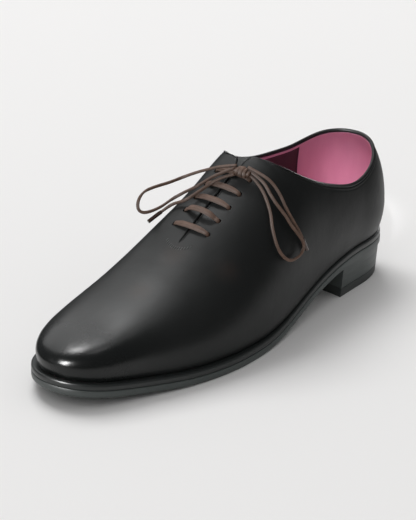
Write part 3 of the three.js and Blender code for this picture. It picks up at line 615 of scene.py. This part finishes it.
def lining_places(rays, outer_depth, inner_depth):
    """A thin skin on some of the rays, between two depths under the last's surface."""
    grid = lasted_rows(6, 24, 10, lining_top)[:, rays]
    outer = off_last(turns[rays], grid, np.full(grid.shape, outer_depth))
    inner = off_last(turns[rays], grid[::-1], np.full(grid.shape, inner_depth))
    return np.concatenate([outer, inner, outer[:1]])


lining_down = SLIT_LINING_DOWN + (LINING_DOWN - SLIT_LINING_DOWN) * on_topline
lining_top = np.where(open_ray, rim_level - lining_down / climb, 1.0)
lining_grid = lining_places(slice(None), CALF_THICK + LINING_CLEAR, UPPER_WALL)
lining_rows = (len(lining_grid) - 1) // 2


def lining_between_ridges(row, column):
    return row == lining_rows - 1 and not (open_ray[column] or open_ray[column + 1])


vamp_skin = draped(lining_grid, leave_out=lining_between_ridges)
vamp_lining = piece_of("vamp_lining", vamp_skin, kid_red)
punched(vamp_lining)
at_ray = along_of(turns)
heel_outer = np.where((at_ray < HEEL_SEAM) & (turns > 0))[0]
heel_inner = np.where((at_ray < HEEL_SEAM) & (turns < 0))[0]
heel_rays = np.concatenate([heel_outer, heel_inner[1:]])
heel_grid = lining_places(heel_rays, UPPER_WALL + HEEL_LINING_CLEAR, UPPER_WALL + HEEL_LINING_PROUD)
piece_of("heel_lining", draped(heel_grid), kid_pink, sharp=50)

BINDING_FRONT, BINDING_HIGH = 0.405, 0.0016
BINDING_CLEAR, BINDING_THICK = 0.00001, 0.0003
BINDING_UNDER_HEEL = 0.004
BINDING_STEPS = 4
for side, name in ((1, "binding_outer_kid"), (-1, "binding_inner_kid")):
    bound = (at_ray >= HEEL_SEAM - BINDING_UNDER_HEEL) & (at_ray < BINDING_FRONT) & (turns * side > 0)
    rays = np.where(bound)[0]
    strip = [lining_top[rays] - BINDING_HIGH * (1 - i / BINDING_STEPS) / climb[rays]
             for i in range(BINDING_STEPS + 1)]
    outer_depth = np.full(len(rays), UPPER_WALL + BINDING_CLEAR)
    inner_depth = np.full(len(rays), UPPER_WALL + BINDING_THICK)
    outer = [off_last(turns[rays], level, outer_depth) for level in strip]
    inner = [off_last(turns[rays], level, inner_depth) for level in strip[::-1]]
    piece_of(name, draped(np.array(outer + inner + outer[:1])), kid_pink, sharp=50)

# Tongue: a single piece of the same calf under the facings, skived thin at its edges.
TONGUE_WIDTH = 0.046
TONGUE_THICK = 0.0014
TONGUE_DEPTH = 0.0033
TONGUE_LEAN = 0.0026
TONGUE_TOP, TONGUE_FRONT = 0.412, 0.66
TONGUE_TOP_WIDTH, TONGUE_WIDENS, TONGUE_SHOULDER = 0.55, 0.45, 6
TONGUE_LEAN_SHARE = 5 / 12
SKIVE_ACROSS, SKIVE_ENDS = 8, 30
TONGUE_ROWS, TONGUE_COLUMNS = 36, 24


def joined(skin, others):
    """Adds the faces of other skins to one."""
    for other in others:
        mesh = bpy.data.meshes.new("part")
        other.to_mesh(mesh)
        other.free()
        skin.from_mesh(mesh)
        bpy.data.meshes.remove(mesh)
    return skin


share = np.linspace(0, 1, TONGUE_ROWS + 1)[:, None]
across = np.linspace(-1, 1, TONGUE_COLUMNS + 1)[None, :]
tongue_turn = np.where(across < 0, -1, 1) * turn_of(TONGUE_TOP + (TONGUE_FRONT - TONGUE_TOP) * share)
narrowed = np.minimum(1, TONGUE_TOP_WIDTH + TONGUE_WIDENS * np.sqrt(share * TONGUE_SHOULDER))
distance = np.abs(across) * TONGUE_WIDTH / 2 * narrowed
tongue_level = np.where(distance > 1e-5, level_from_ridge(tongue_turn, distance), 1.0)
lean = TONGUE_LEAN * smooth(1 - share / TONGUE_LEAN_SHARE)
skived = np.sqrt(np.clip(1 - np.abs(across) ** SKIVE_ACROSS, 0, 1))
skived = skived * np.sqrt(np.clip(1 - np.abs(2 * share - 1) ** SKIVE_ENDS, 0, 1))
half = TONGUE_THICK / 2 * skived
middle = TONGUE_DEPTH + TONGUE_THICK / 2 + lean
faces = [draped(off_last(tongue_turn, tongue_level, depth), closed=False)
         for depth in (middle - half, middle + half)]
tongue_skin = joined(faces[0], faces[1:])
bmesh.ops.remove_doubles(tongue_skin, verts=tongue_skin.verts, dist=MERGE_WITHIN)
bmesh.ops.recalc_face_normals(tongue_skin, faces=tongue_skin.faces)
piece_of("tongue_calf", tongue_skin, calf, replaced=["tongue"])

# Welt: a strip of dyed leather sewn round the bottom of the upper, carried round the heel as a rand. Its outer
# edge is rounded above and meets the outsole in a fine groove.
SOLE_EDGE = {0.0: 0.0009, 0.2: 0.0012, 0.4: 0.0014, 0.6: 0.0034, 0.75: 0.0044, 1.0: 0.004}
WELT_LAND = 0.009
EDGE_BLACK = (0.013, 0.0158, 0.0152, 1)
EDGE_GREEN = (0.048, 0.058, 0.055, 1)
sole_out = curve_through(SOLE_EDGE)


def edge_outline(turn, inset):
    return outline_point(turn, sole_out(along_of(turn)) - inset)


def edge_dye(name, colour, worn, rough, ribbed):
    """Leather edge that is trimmed, dyed and burnished with wax."""
    material, tree = new_material(name)
    where = put(tree, "ShaderNodeTexCoord").outputs["Object"]
    fibres = put(tree, "ShaderNodeMapping", {"Vector": where, "Scale": (60.0, 60.0, 700.0)})
    streaks = put(tree, "ShaderNodeTexNoise", {"Vector": fibres.outputs[0], "Scale": 1.0, "Detail": 4.0})
    bump = put(tree, "ShaderNodeBump", {"Height": streaks.outputs["Fac"], "Strength": ribbed,
               "Distance": 0.0001})
    shader = put(tree, "ShaderNodeBsdfPrincipled", {
        "Base Color": two_tones(tree, streaks.outputs["Fac"], colour, worn), "Roughness": rough,
        "Normal": bump.outputs["Normal"],
    })
    shown(tree, shader)
    return material


welt_dye = edge_dye("welt_dye", EDGE_BLACK, (0.020, 0.024, 0.023, 1), rough=0.36, ribbed=0.12)
sole_dye = edge_dye("sole_edge_dye", EDGE_GREEN, (0.057, 0.068, 0.065, 1), rough=0.45, ribbed=0.03)
WELT_SEAT = 0.3
WELT_PROFILE = [  # inset from the sole's edge, or None at the inner side, and the share of the welt's height
    (None, 1.0), (0.0022, 1.0), (0.0011, 0.985), (0.0005, 0.93), (0.00015, 0.82), (0.0, 0.62), (0.0, 0.3),
    (0.0001, 0.12), (0.00045, 0.0), (None, 0.0),
]
welt_rows = []
for inset, share in WELT_PROFILE:
    plan = outline_point(turns, -WELT_LAND + 0 * turns) if inset is None else edge_outline(turns, inset)
    base = outsole_top(plan[..., 1]) + SEAT_GAP * WELT_SEAT
    welt_rows.append(placed(plan, base + (WELT_THICK + SEAT_GAP * (1 - WELT_SEAT)) * share))
welt_rows.append(welt_rows[0])
piece_of("welt_strip", draped(np.array(welt_rows)), welt_dye, sharp=40, replaced=["welt"])

# Outsole: one layer of oak bark leather, its edge trimmed a little round, dyed and burnished.
OUTSOLE_PROFILE = [  # inset from the sole's edge, and the share of the outsole's height, from the top down
    (0.0006, 1.0), (0.00018, 0.96), (0.0, 0.86), (-0.00006, 0.6), (-0.00004, 0.4), (0.00008, 0.22),
    (0.0004, 0.08), (0.0010, 0.0),
]
HEEL_FRONT, HEEL_FRONT_BLEND, HEEL_SQUARED = 0.19, 0.06, 0.9
outsole_rows = flat_rows(edge_outline(turns, OUTSOLE_PROFILE[0][0]), outsole_top, 3)
over_heel = 1 - smooth((along_of(turns) - HEEL_FRONT) / HEEL_FRONT_BLEND)
for inset, share in OUTSOLE_PROFILE:
    plan = edge_outline(turns, inset * (1 - HEEL_SQUARED * over_heel if share < 0.5 else 1))
    outsole_rows.append(placed(plan, sole_under(plan[..., 1]) + OUTSOLE_THICK * share))
outsole_rows += flat_rows(edge_outline(turns, OUTSOLE_PROFILE[-1][0]), sole_under, 10)[::-1]
piece_of("leather_outsole", draped(np.array(outsole_rows)), sole_dye, sharp=40,
         replaced=["outsole"])

# Heel: leather lifts glued and nailed into a stack, with a hollow breast, then a rubber top lift. The stack
# is dyed with the sole's edge, and the joints between its lifts show faintly.
HEEL_LENGTH = 0.063
HEEL_TAPER = 0.002
BREAST_HOLLOW = 0.003
LIFT_THICK = 0.006
EDGE_ROUND = 0.0009
HEEL_COLUMNS = 150
BREAST_SHARE = 0.28
HEEL_HALFWAY, HEEL_CENTRE = 0.03, 0.034
CAP_STEPS = 4
LIFT_LINES = (0.36, 0.68)
LINE_HALF, LINE_DEEP = 0.015, 0.00005


def heel_plan(shrink):
    """The heel's outline, once round: the breast, then the outer side, the back and the inner side."""
    front = float(turn_of(HEEL_LENGTH / LAST_LENGTH))
    share = np.linspace(0, 1, HEEL_COLUMNS + 1)
    side_share = np.clip((share - BREAST_SHARE) / (1 - BREAST_SHARE), 0, 1)
    turn = front + (2 - 2 * front) * side_share
    side = edge_outline(np.where(turn > 1, turn - 2, turn), shrink)
    corners = edge_outline(np.array([-front, front]), shrink)
    across = np.clip(share / BREAST_SHARE, 0, 1)[:, None]
    breast = corners[0] * (1 - across) + corners[1] * across
    breast = breast - np.stack([0 * share, BREAST_HOLLOW * (1 - (2 * across[:, 0] - 1) ** 2)], -1)
    return np.where((share < BREAST_SHARE)[:, None], breast, side)


def heel_rows(profile, top, bottom):
    """Rows of a heel layer: its top from the middle out, then down its side by the profile, then its bottom."""
    rows = []
    for share, inset in profile:
        edge_height = bottom(HEEL_HALFWAY) + (top(HEEL_HALFWAY) - bottom(HEEL_HALFWAY)) * share
        plan = heel_plan(inset + EDGE_ROUND + HEEL_TAPER * (1 - edge_height / HEEL_HEIGHT))
        along = plan[..., 1]
        rows.append(placed(plan, bottom(along) + (top(along) - bottom(along)) * share))
    centre = np.array([BALL_WIDTH * form["middle"](0.1), HEEL_CENTRE])
    caps = []
    for row, height in ((rows[0], top), (rows[-1], bottom)):
        plan = np.stack([row[..., 0], HEEL_MIDDLE - row[..., 1]], -1)
        steps = [centre + (plan - centre) * i / CAP_STEPS for i in range(CAP_STEPS)]
        caps.append([placed(step, height(step[..., 1])) for step in steps])
    return np.array(caps[0] + rows + caps[1][::-1])


stack_profile = [(1.0, 0.0), (0.985, 0.0)]
for line in LIFT_LINES[::-1]:
    stack_profile += [(line + LINE_HALF, 0.0), (line, LINE_DEEP), (line - LINE_HALF, 0.0)]
stack_profile += [(0.02, 0.0), (0.0, 0.0002)]
stack = heel_rows(stack_profile, lambda y: sole_under(y) + 0.0001, lambda y: LIFT_THICK + 0.00005 + 0 * y)
piece_of("stacked_heel", draped(stack), sole_dye, sharp=30, replaced=["heel_stack"])
lift_rubber = edge_dye("top_lift_rubber", (0.024, 0.029, 0.028, 1), (0.034, 0.041, 0.039, 1), rough=0.55,
                       ribbed=0.12)
top_lift = heel_rows([(1.0, 0.0002), (0.95, 0.0), (0.12, 0.0), (0.03, 0.0002), (0.0, 0.0006)],
                     lambda y: LIFT_THICK + 0 * y, lambda y: 0 * y)
piece_of("rubber_top_lift", draped(top_lift), lift_rubber, sharp=30, replaced=["top_lift"])

# Lace bars: one flat waxed cotton lace crosses the slit five times, straight, and goes down the eyelets.
LACE_WIDTH = 0.0040
LACE_THICK = 0.0012
LACE_REST = SEAT_GAP + 0.00065
BAR_ARCHES = (0.0009, 0.0036, 0.0013, 0.0008, 0.0007)
SECTION_SIDES = 14

waxed_cotton, tree = new_material("waxed_cotton")
uv = put(tree, "ShaderNodeUVMap", uv_map="UVMap").outputs["UV"]
where = put(tree, "ShaderNodeTexCoord").outputs["Object"]
split = put(tree, "ShaderNodeSeparateXYZ", {0: uv})
ribs = put(tree, "ShaderNodeMath", {0: split.outputs["X"], 1: 2 * math.pi * 9}, operation="MULTIPLY")
rib_wave = put(tree, "ShaderNodeMath", {0: ribs.outputs[0]}, operation="SINE")
tone = put(tree, "ShaderNodeTexNoise", {"Vector": where, "Scale": 260.0, "Detail": 3.0})
mixed = put(tree, "ShaderNodeMix", {"Factor": tone.outputs["Fac"]}, data_type="RGBA")
mixed.inputs[6].default_value = (0.085, 0.048, 0.033, 1)
mixed.inputs[7].default_value = (0.19, 0.115, 0.083, 1)
rib_bump = put(tree, "ShaderNodeBump", {"Height": rib_wave.outputs[0], "Strength": 0.6, "Distance": 0.00012})
shader = put(tree, "ShaderNodeBsdfPrincipled", {"Base Color": mixed.outputs[2], "Roughness": 0.58,
             "Specular IOR Level": 0.3, "Normal": rib_bump.outputs["Normal"]})
shown(tree, shader)


def through(points, count):
    """A smooth path through given points (Catmull-Rom), cut into equal steps."""
    points = np.asarray(points, float)
    padded = np.concatenate([[2 * points[0] - points[1]], points, [2 * points[-1] - points[-2]]])
    fine = []
    for i in range(len(points) - 1):
        a, b, c, d = padded[i:i + 4]
        square, cube = 2 * a - 5 * b + 4 * c - d, 3 * b - a - 3 * c + d
        for t in np.linspace(0, 1, 24, endpoint=False):
            fine.append(0.5 * (2 * b + (c - a) * t + square * t**2 + cube * t**3))
    fine = np.array(fine + [points[-1]])
    run = np.concatenate([[0], np.cumsum(np.linalg.norm(np.diff(fine, axis=0), axis=1))])
    even = np.linspace(0, run[-1], count)
    return np.stack([np.interp(even, run, fine[:, i]) for i in range(3)], -1), run[-1]


def lace_rows(path, width, thick, flat_way, sides=SECTION_SIDES):
    """Rows of places round a flat lace: flat_way is the way that its width lies at each point of the path."""
    way = np.gradient(path, axis=0)
    way /= np.linalg.norm(way, axis=1, keepdims=True)
    flat_way = flat_way - (flat_way * way).sum(1, keepdims=True) * way
    flat_way /= np.linalg.norm(flat_way, axis=1, keepdims=True)
    over = np.cross(way, flat_way)
    angle = np.linspace(0, 2 * np.pi, sides + 1)
    cos, sin = np.cos(angle), np.sin(angle)
    flat = np.sign(cos) * np.abs(cos) ** 0.7
    tall = np.sign(sin) * np.abs(sin) ** 0.7
    width, thick = np.broadcast_to(width, len(path)), np.broadcast_to(thick, len(path))
    across = flat[None, :, None] * (width / 2)[:, None, None] * flat_way[:, None, :]
    return path[:, None, :] + across + tall[None, :, None] * (thick / 2)[:, None, None] * over[:, None, :]


for i, at in enumerate(eyelet_places):
    stations = [
        (EYELET_INSET + 0.0002, -0.0031, 0.62), (EYELET_INSET + 0.0002, -0.0016, 0.66),
        (EYELET_INSET, -0.0003, 0.72), (EYELET_INSET - 0.0007, LACE_REST - 0.0003, 0.86),
        (EYELET_INSET - 0.0021, LACE_REST + 0.0001, 1.0),
        (EYELET_INSET - 0.0052, LACE_REST + BAR_ARCHES[i] * 0.6, 1.0),
        (EYELET_INSET - 0.0090, LACE_REST + BAR_ARCHES[i] * 0.9, 1.0),
    ]
    middle = [(0.0, LACE_REST + BAR_ARCHES[i], 1.0)]
    points, widths = [], []
    for side, run in ((-1, stations), (1, middle + stations[::-1])):
        for out, up, share in run:
            turn = np.array([side * turn_of(at)])
            level = level_from_ridge(turn, out) if out > 0 else np.ones(1)
            points.append(off_last(turn, level, np.array([-up]))[0])
            widths.append(share)
    path, long = through(points, 70)
    width = LACE_WIDTH * np.interp(np.linspace(0, 1, 70), np.linspace(0, 1, len(widths)), widths)
    lie = np.tile([0.0, math.cos(0.6), math.sin(0.6)], (70, 1))
    bar = lace_rows(path, width, LACE_THICK * np.clip(0.6 + 0.4 * width / LACE_WIDTH, 0, 1), lie)
    piece_of(f"laced_bar_{i + 1}", draped(bar), waxed_cotton, replaced=[f"lace_bar_{i + 1}"])

# Tack: the slit's lower end is held by a crescent of short waxed stitches, sewn through the calf across it.
STITCH_COUNT = 13
STITCH_LONG, STITCH_THICK = 0.0019, 0.00042
TACK_AT, TACK_SPREAD, TACK_SAG = 0.634, 0.0092, 0.0035

tack_thread, tree = new_material("tack_thread")
shown(tree, put(tree, "ShaderNodeBsdfPrincipled", {"Base Color": (0.10, 0.107, 0.104, 1), "Roughness": 0.28,
                "Specular IOR Level": 0.7}))
stitches = []
for i in range(STITCH_COUNT):
    share = 2 * i / (STITCH_COUNT - 1) - 1
    out = abs(share) * TACK_SPREAD
    at = TACK_AT + TACK_SAG * (1 - share**2) / LAST_LENGTH
    ends = []
    for step in np.linspace(-0.5, 0.5, 7):
        turn = np.array([(-1 if share < 0 else 1) * turn_of(at + step * STITCH_LONG / LAST_LENGTH)])
        level = level_from_ridge(turn, out) if out > 1e-6 else np.ones(1)
        ends.append(off_last(turn, level, np.array([-0.00012 * math.cos(math.pi * step)]))[0])
    stitch_path = np.array(ends)
    swell = STITCH_THICK * np.sqrt(np.clip(1 - np.linspace(-0.96, 0.96, 7) ** 4, 0, 1))
    sideways = np.tile([1.0, 0, 0], (7, 1))
    stitches.append(draped(lace_rows(stitch_path, swell, swell, sideways, sides=8)))
piece_of("slit_tack", joined(stitches[0], stitches[1:]), tack_thread)

# The bow: the lace's two ends tied over the top eyelets. Each loop and each end is its own piece, and each end has
# a tip of clear brown lacquer. Rows are shares along the last, across the ball width and up the instep rise.
CORD_WIDTH = 0.0020
CORD_THICK = 0.0015
OUTER_LOOP = [
    (0.467, 0.170, 1.2735), (0.4666, 0.2412, 1.2289), (0.4738, 0.3287, 1.1554), (0.483, 0.4026, 1.0456),
    (0.4959, 0.4579, 0.9343), (0.4981, 0.5052, 0.8095), (0.4861, 0.5256, 0.722), (0.4653, 0.5297, 0.6673),
    (0.4425, 0.5243, 0.6558), (0.4232, 0.5214, 0.6793), (0.4167, 0.515, 0.757), (0.4461, 0.4869, 0.9227),
    (0.4553, 0.4601, 1.0029), (0.4653, 0.4111, 1.0932), (0.4672, 0.3636, 1.1592), (0.4641, 0.2961, 1.2335),
    (0.4645, 0.18, 1.303),
]
OUTER_END = [
    (0.469, 0.175, 1.332), (0.459, 0.2993, 1.273), (0.4528, 0.3542, 1.2171), (0.45, 0.4043, 1.1426),
    (0.4479, 0.4473, 1.0523), (0.4395, 0.4656, 0.9772), (0.4177, 0.4899, 0.8254), (0.3974, 0.4979, 0.6688),
]
INNER_LOOP = [
    (0.471, 0.082, 1.324), (0.4792, -0.0294, 1.2927), (0.4835, -0.153, 1.2371), (0.4857, -0.244, 1.1899),
    (0.4961, -0.3225, 1.1444), (0.5226, -0.3662, 1.12), (0.5558, -0.4177, 1.1002), (0.5765, -0.4421, 1.0768),
    (0.5936, -0.4402, 1.033), (0.6008, -0.4262, 0.9785), (0.5971, -0.4046, 0.9474), (0.5854, -0.3722, 0.9459),
    (0.5622, -0.3357, 0.9698), (0.5356, -0.302, 1.0159), (0.5245, -0.2311, 1.0759), (0.5253, -0.114, 1.1608),
    (0.5041, -0.0453, 1.227), (0.4856, 0.0417, 1.2858), (0.4765, 0.082, 1.3055),
]
INNER_END = [
    (0.481, 0.092, 1.266), (0.4921, 0.0336, 1.2392), (0.5064, -0.0261, 1.1981), (0.5336, -0.0847, 1.1278),
    (0.5524, -0.1443, 1.0683), (0.5529, -0.2564, 1.0021), (0.5715, -0.3166, 0.9358), (0.5956, -0.3482, 0.8843),
]
AGLET_LONG = 0.011
AGLET_RADIUS = 0.0013

aglet_lacquer, tree = new_material("aglet_lacquer")
shader = put(tree, "ShaderNodeBsdfPrincipled", {"Base Color": (0.05, 0.028, 0.02, 1), "Roughness": 0.18,
             "Coat Weight": 0.6, "Coat Roughness": 0.08})
tone = put(tree, "ShaderNodeTexNoise", {"Scale": 500.0, "Detail": 2.0,
           "Vector": put(tree, "ShaderNodeTexCoord").outputs["Object"]})
bump = put(tree, "ShaderNodeBump", {"Height": tone.outputs["Fac"], "Strength": 0.2, "Distance": 0.0001})
tree.links.new(bump.outputs["Normal"], shader.inputs["Normal"])
shown(tree, shader)


def cord_route(rows):
    rows = np.array(rows)
    return placed(np.stack([BALL_WIDTH * rows[:, 1], LAST_LENGTH * rows[:, 0]], -1), INSTEP_RISE * rows[:, 2])


KNOT_AT, KNOT_ACROSS, KNOT_ABOVE = 0.464, 0.0084, 0.0048
knot_at = np.array([turn_of(KNOT_AT)])
knot_level = level_from_ridge(knot_at, KNOT_ACROSS)
knot_middle = off_last(knot_at, knot_level, np.array([-KNOT_ABOVE]))[0]
knot_up = last_normal(knot_at, knot_level)[0]
knot_side = np.cross([0.0, -1.0, 0.0], knot_up)
knot_side /= np.linalg.norm(knot_side)
knot_along = np.cross(knot_side, knot_up)
wrap_angle = np.linspace(0, 2 * np.pi, 41)
TURNS_OF_KNOT = [  # across the knot, its half length and half height, how wide the lace lies there and its slant
    (-0.0022, 0.0025, 0.0018, 0.0024, 0.25), (0.0, 0.0031, 0.0022, 0.0027, 0.05),
    (0.0023, 0.0026, 0.0018, 0.0024, -0.2),
]
knot_grids = []
for across, half_long, half_high, wide, slant in TURNS_OF_KNOT:
    slanted = np.cos(wrap_angle)[:, None] * (knot_along + slant * knot_side) * half_long
    wrap = knot_middle + across * knot_side + slanted + np.sin(wrap_angle)[:, None] * knot_up * half_high
    wrap_grid = lace_rows(wrap, wide, 0.0013, np.tile(knot_side, (len(wrap), 1)))
    wrap_grid[-1] = wrap_grid[0]
    knot_grids.append(wrap_grid)
# The strands run into the knot through its middle, and a short twisted bight joins them there
bight_share = np.linspace(-1, 1, 31)[:, None]
bight = knot_middle + knot_side * bight_share * 0.0052 + knot_along * 0.0006 * np.sin(bight_share * 5)
knot_grids.append(lace_rows(bight, 0.0034, 0.0024, np.tile(knot_along, (31, 1))))
knot_parts = [draped(grid) for grid in knot_grids]
piece_of("bow_knot", joined(knot_parts[0], knot_parts[1:]), waxed_cotton, replaced=["lace_knot"])

for name, rows, ends_at in (("outer_loop", OUTER_LOOP, "object"), ("inner_loop", INNER_LOOP, "object"),
                            ("outer_end", OUTER_END, "fitting"), ("inner_end", INNER_END, "fitting")):
    path, long = through(cord_route(rows), 120 if ends_at == "object" else 70)
    turn_round = np.linspace(0, 1, len(path))[:, None]
    lie = np.array([0.3, 0.8, 0.5]) * (1 - turn_round) + np.array([0.6, 0.2, 0.75]) * turn_round
    strand = draped(lace_rows(path, CORD_WIDTH, CORD_THICK, lie))
    cord = piece_of(f"bow_{name}", strand, waxed_cotton)
    side, kind = name.split("_")
    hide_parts(f"lace_{kind}_{side}")
    on_it = []
    if kind == "end":
        run = np.cumsum(np.linalg.norm(np.diff(path[::-1], axis=0), axis=1))
        tip_path = path[::-1][:int(np.searchsorted(run, AGLET_LONG)) + 1][::-1]
        tip_path = np.concatenate([tip_path, [tip_path[-1] + (tip_path[-1] - tip_path[-2]) * 0.4]])
        share = np.linspace(0, 1, len(tip_path))
        swell = 0.85 + 0.15 * np.clip(share * 8, 0, 1) * np.clip((1 - share) * 12, 0.3, 1)
        wide, thick = 2 * AGLET_RADIUS * swell, 2 * AGLET_RADIUS * 0.9 * swell
        tip = draped(lace_rows(tip_path, wide, thick, lie[-len(tip_path):]))
        on_it = [piece_of(f"aglet_{side}", tip, aglet_lacquer, sharp=40)]

# The studio: a pale floor, soft lights to the left, behind and in front, lamps that show only as highlights,
# and pale walls. In a reflection the floor ends a short way from the shoe, as a table top does.
FLOOR_PALE = (0.86, 0.855, 0.85, 1)
TABLE_NEAR, TABLE_FAR = 0.26, 0.46
floor_paint, tree = new_material("studio_floor")
where = put(tree, "ShaderNodeTexCoord").outputs["Object"]
table = put(tree, "ShaderNodeMapping", {"Vector": where, "Location": (0.0, 0.03, 0.0), "Scale": (2.3, 1.0, 1.0)})
from_middle = put(tree, "ShaderNodeVectorMath", {0: table.outputs[0]}, operation="LENGTH")
past_table = put(tree, "ShaderNodeMapRange", {"Value": from_middle.outputs["Value"], "From Min": TABLE_NEAR,
                 "From Max": TABLE_FAR}, interpolation_type="SMOOTHSTEP")
rays = put(tree, "ShaderNodeLightPath")
unseen = put(tree, "ShaderNodeMath", {0: past_table.outputs["Result"], 1: rays.outputs["Is Glossy Ray"]},
             operation="MULTIPLY")
paint = put(tree, "ShaderNodeMix", {"Factor": unseen.outputs[0]}, data_type="RGBA")
paint.inputs[6].default_value = FLOOR_PALE
paint.inputs[7].default_value = (0.02, 0.02, 0.02, 1)
shown(tree, put(tree, "ShaderNodeBsdfPrincipled", {"Base Color": paint.outputs[2], "Roughness": 0.9,
                "Specular IOR Level": 0.1}))
floor_mesh = bpy.data.meshes.new("studio_floor")
floor_skin = bmesh.new()
bmesh.ops.create_grid(floor_skin, x_segments=1, y_segments=1, size=6)
floor_skin.to_mesh(floor_mesh)
floor_skin.free()
floor = bpy.data.objects.new("studio_floor", floor_mesh)
bpy.context.scene.collection.objects.link(floor)
floor_mesh.materials.append(floor_paint)


def direction(azimuth, elevation):
    """The way to a light or the camera from the shoe: azimuth 0 is in front of the toe and 90 on the outer side."""
    azimuth, elevation = math.radians(azimuth), math.radians(elevation)
    flat = math.cos(elevation)
    return Vector((math.sin(azimuth) * flat, -math.cos(azimuth) * flat, math.sin(elevation)))


SHOE_MIDDLE = Vector((0.0, -0.110, 0.045))
LIGHTS = [  # name, azimuth, elevation, distance, width, height, brightness in W/m2/sr, and what it is for
    ("left_softbox", -126, 44, 1.9, 1.9, 1.7, 1.25, "gloss"),
    ("back_softbox", -118, 58, 4.6, 2.6, 2.6, 6.2, "fill"),
    ("front_lamp", -10, 24, 1.7, 0.44, 0.90, 60.0, "gloss"),
    ("high_lamp", -111, 61, 1.7, 0.26, 0.24, 30.0, "gloss"),
    ("top_lamp", -156, 80, 1.8, 0.3, 0.3, 3.0, "gloss"),
    ("heel_lamp", -160, 2, 1.8, 0.9, 0.6, 5.0, "gloss"),
    ("front_fill", 25, 40, 2.6, 1.1, 1.1, 1.4, "fill"),
]
for name, azimuth, elevation, distance, wide, high, radiance, purpose in LIGHTS:
    lamp = bpy.data.lights.new(name, "AREA")
    lamp.shape, lamp.size, lamp.size_y = "RECTANGLE", wide, high
    lamp.energy = radiance * math.pi * wide * high
    stand = bpy.data.objects.new(name, lamp)
    stand.location = SHOE_MIDDLE + direction(azimuth, elevation) * distance
    stand.rotation_euler = (-direction(azimuth, elevation)).to_track_quat("-Z", "Y").to_euler()
    stand.visible_glossy = purpose == "gloss"
    stand.visible_diffuse = purpose == "fill"
    bpy.context.scene.collection.objects.link(stand)

# A narrow lamp is aimed into the shoe, on the heel lining
INSIDE_AIM = Vector((0.000, 0.014, 0.064))
inside_light = bpy.data.lights.new("inside_lamp", "SPOT")
inside_light.spot_size, inside_light.spot_blend = math.radians(3.0), 1.0
inside_light.energy, inside_light.shadow_soft_size = 38.0, 0.012
inside_lamp = bpy.data.objects.new("inside_lamp", inside_light)
inside_lamp.location = INSIDE_AIM + direction(32, 38) * 1.2
inside_lamp.rotation_euler = (-direction(32, 38)).to_track_quat("-Z", "Y").to_euler()
inside_lamp.visible_glossy = False
bpy.context.scene.collection.objects.link(inside_lamp)

WALLS_SEEN = (0.855, 0.847, 0.831, 1)
WALLS_LIT = (0.44, 0.437, 0.437, 1)
WALLS_REFLECTED = (0.12, 0.12, 0.124, 1)
world = bpy.data.worlds.new("studio")
world.use_nodes = True
tree = world.node_tree
rays = put(tree, "ShaderNodeLightPath")
walls = put(tree, "ShaderNodeMix", {"Factor": rays.outputs["Is Camera Ray"]}, data_type="RGBA")
unlit = put(tree, "ShaderNodeMix", {"Factor": rays.outputs["Is Glossy Ray"]}, data_type="RGBA")
unlit.inputs[6].default_value = WALLS_LIT
unlit.inputs[7].default_value = WALLS_REFLECTED
tree.links.new(unlit.outputs[2], walls.inputs[6])
walls.inputs[7].default_value = WALLS_SEEN
tree.links.new(walls.outputs[2], tree.nodes["Background"].inputs["Color"])
world.cycles.sampling_method = "NONE"
bpy.context.scene.world = world
bpy.context.scene.view_settings.view_transform = "Standard"

# The camera stands where the photograph was taken, with a longer lens, so that this one shoe fills the frame.
AZIMUTH, ELEVATION, DISTANCE = 39.2, 22.04, 1.8
LENS = 204.0
back = direction(AZIMUTH, ELEVATION)
camera_data = bpy.data.cameras.new("camera")
camera_data.sensor_width = 36.0
camera_data.lens = LENS
camera_data.shift_x, camera_data.shift_y = -0.0313, -0.0088
camera = bpy.data.objects.new("camera", camera_data)
camera.location = SHOE_MIDDLE + back * DISTANCE
camera.rotation_euler = (-back).to_track_quat("-Z", "Y").to_euler()
bpy.context.scene.collection.objects.link(camera)
bpy.context.scene.camera = camera
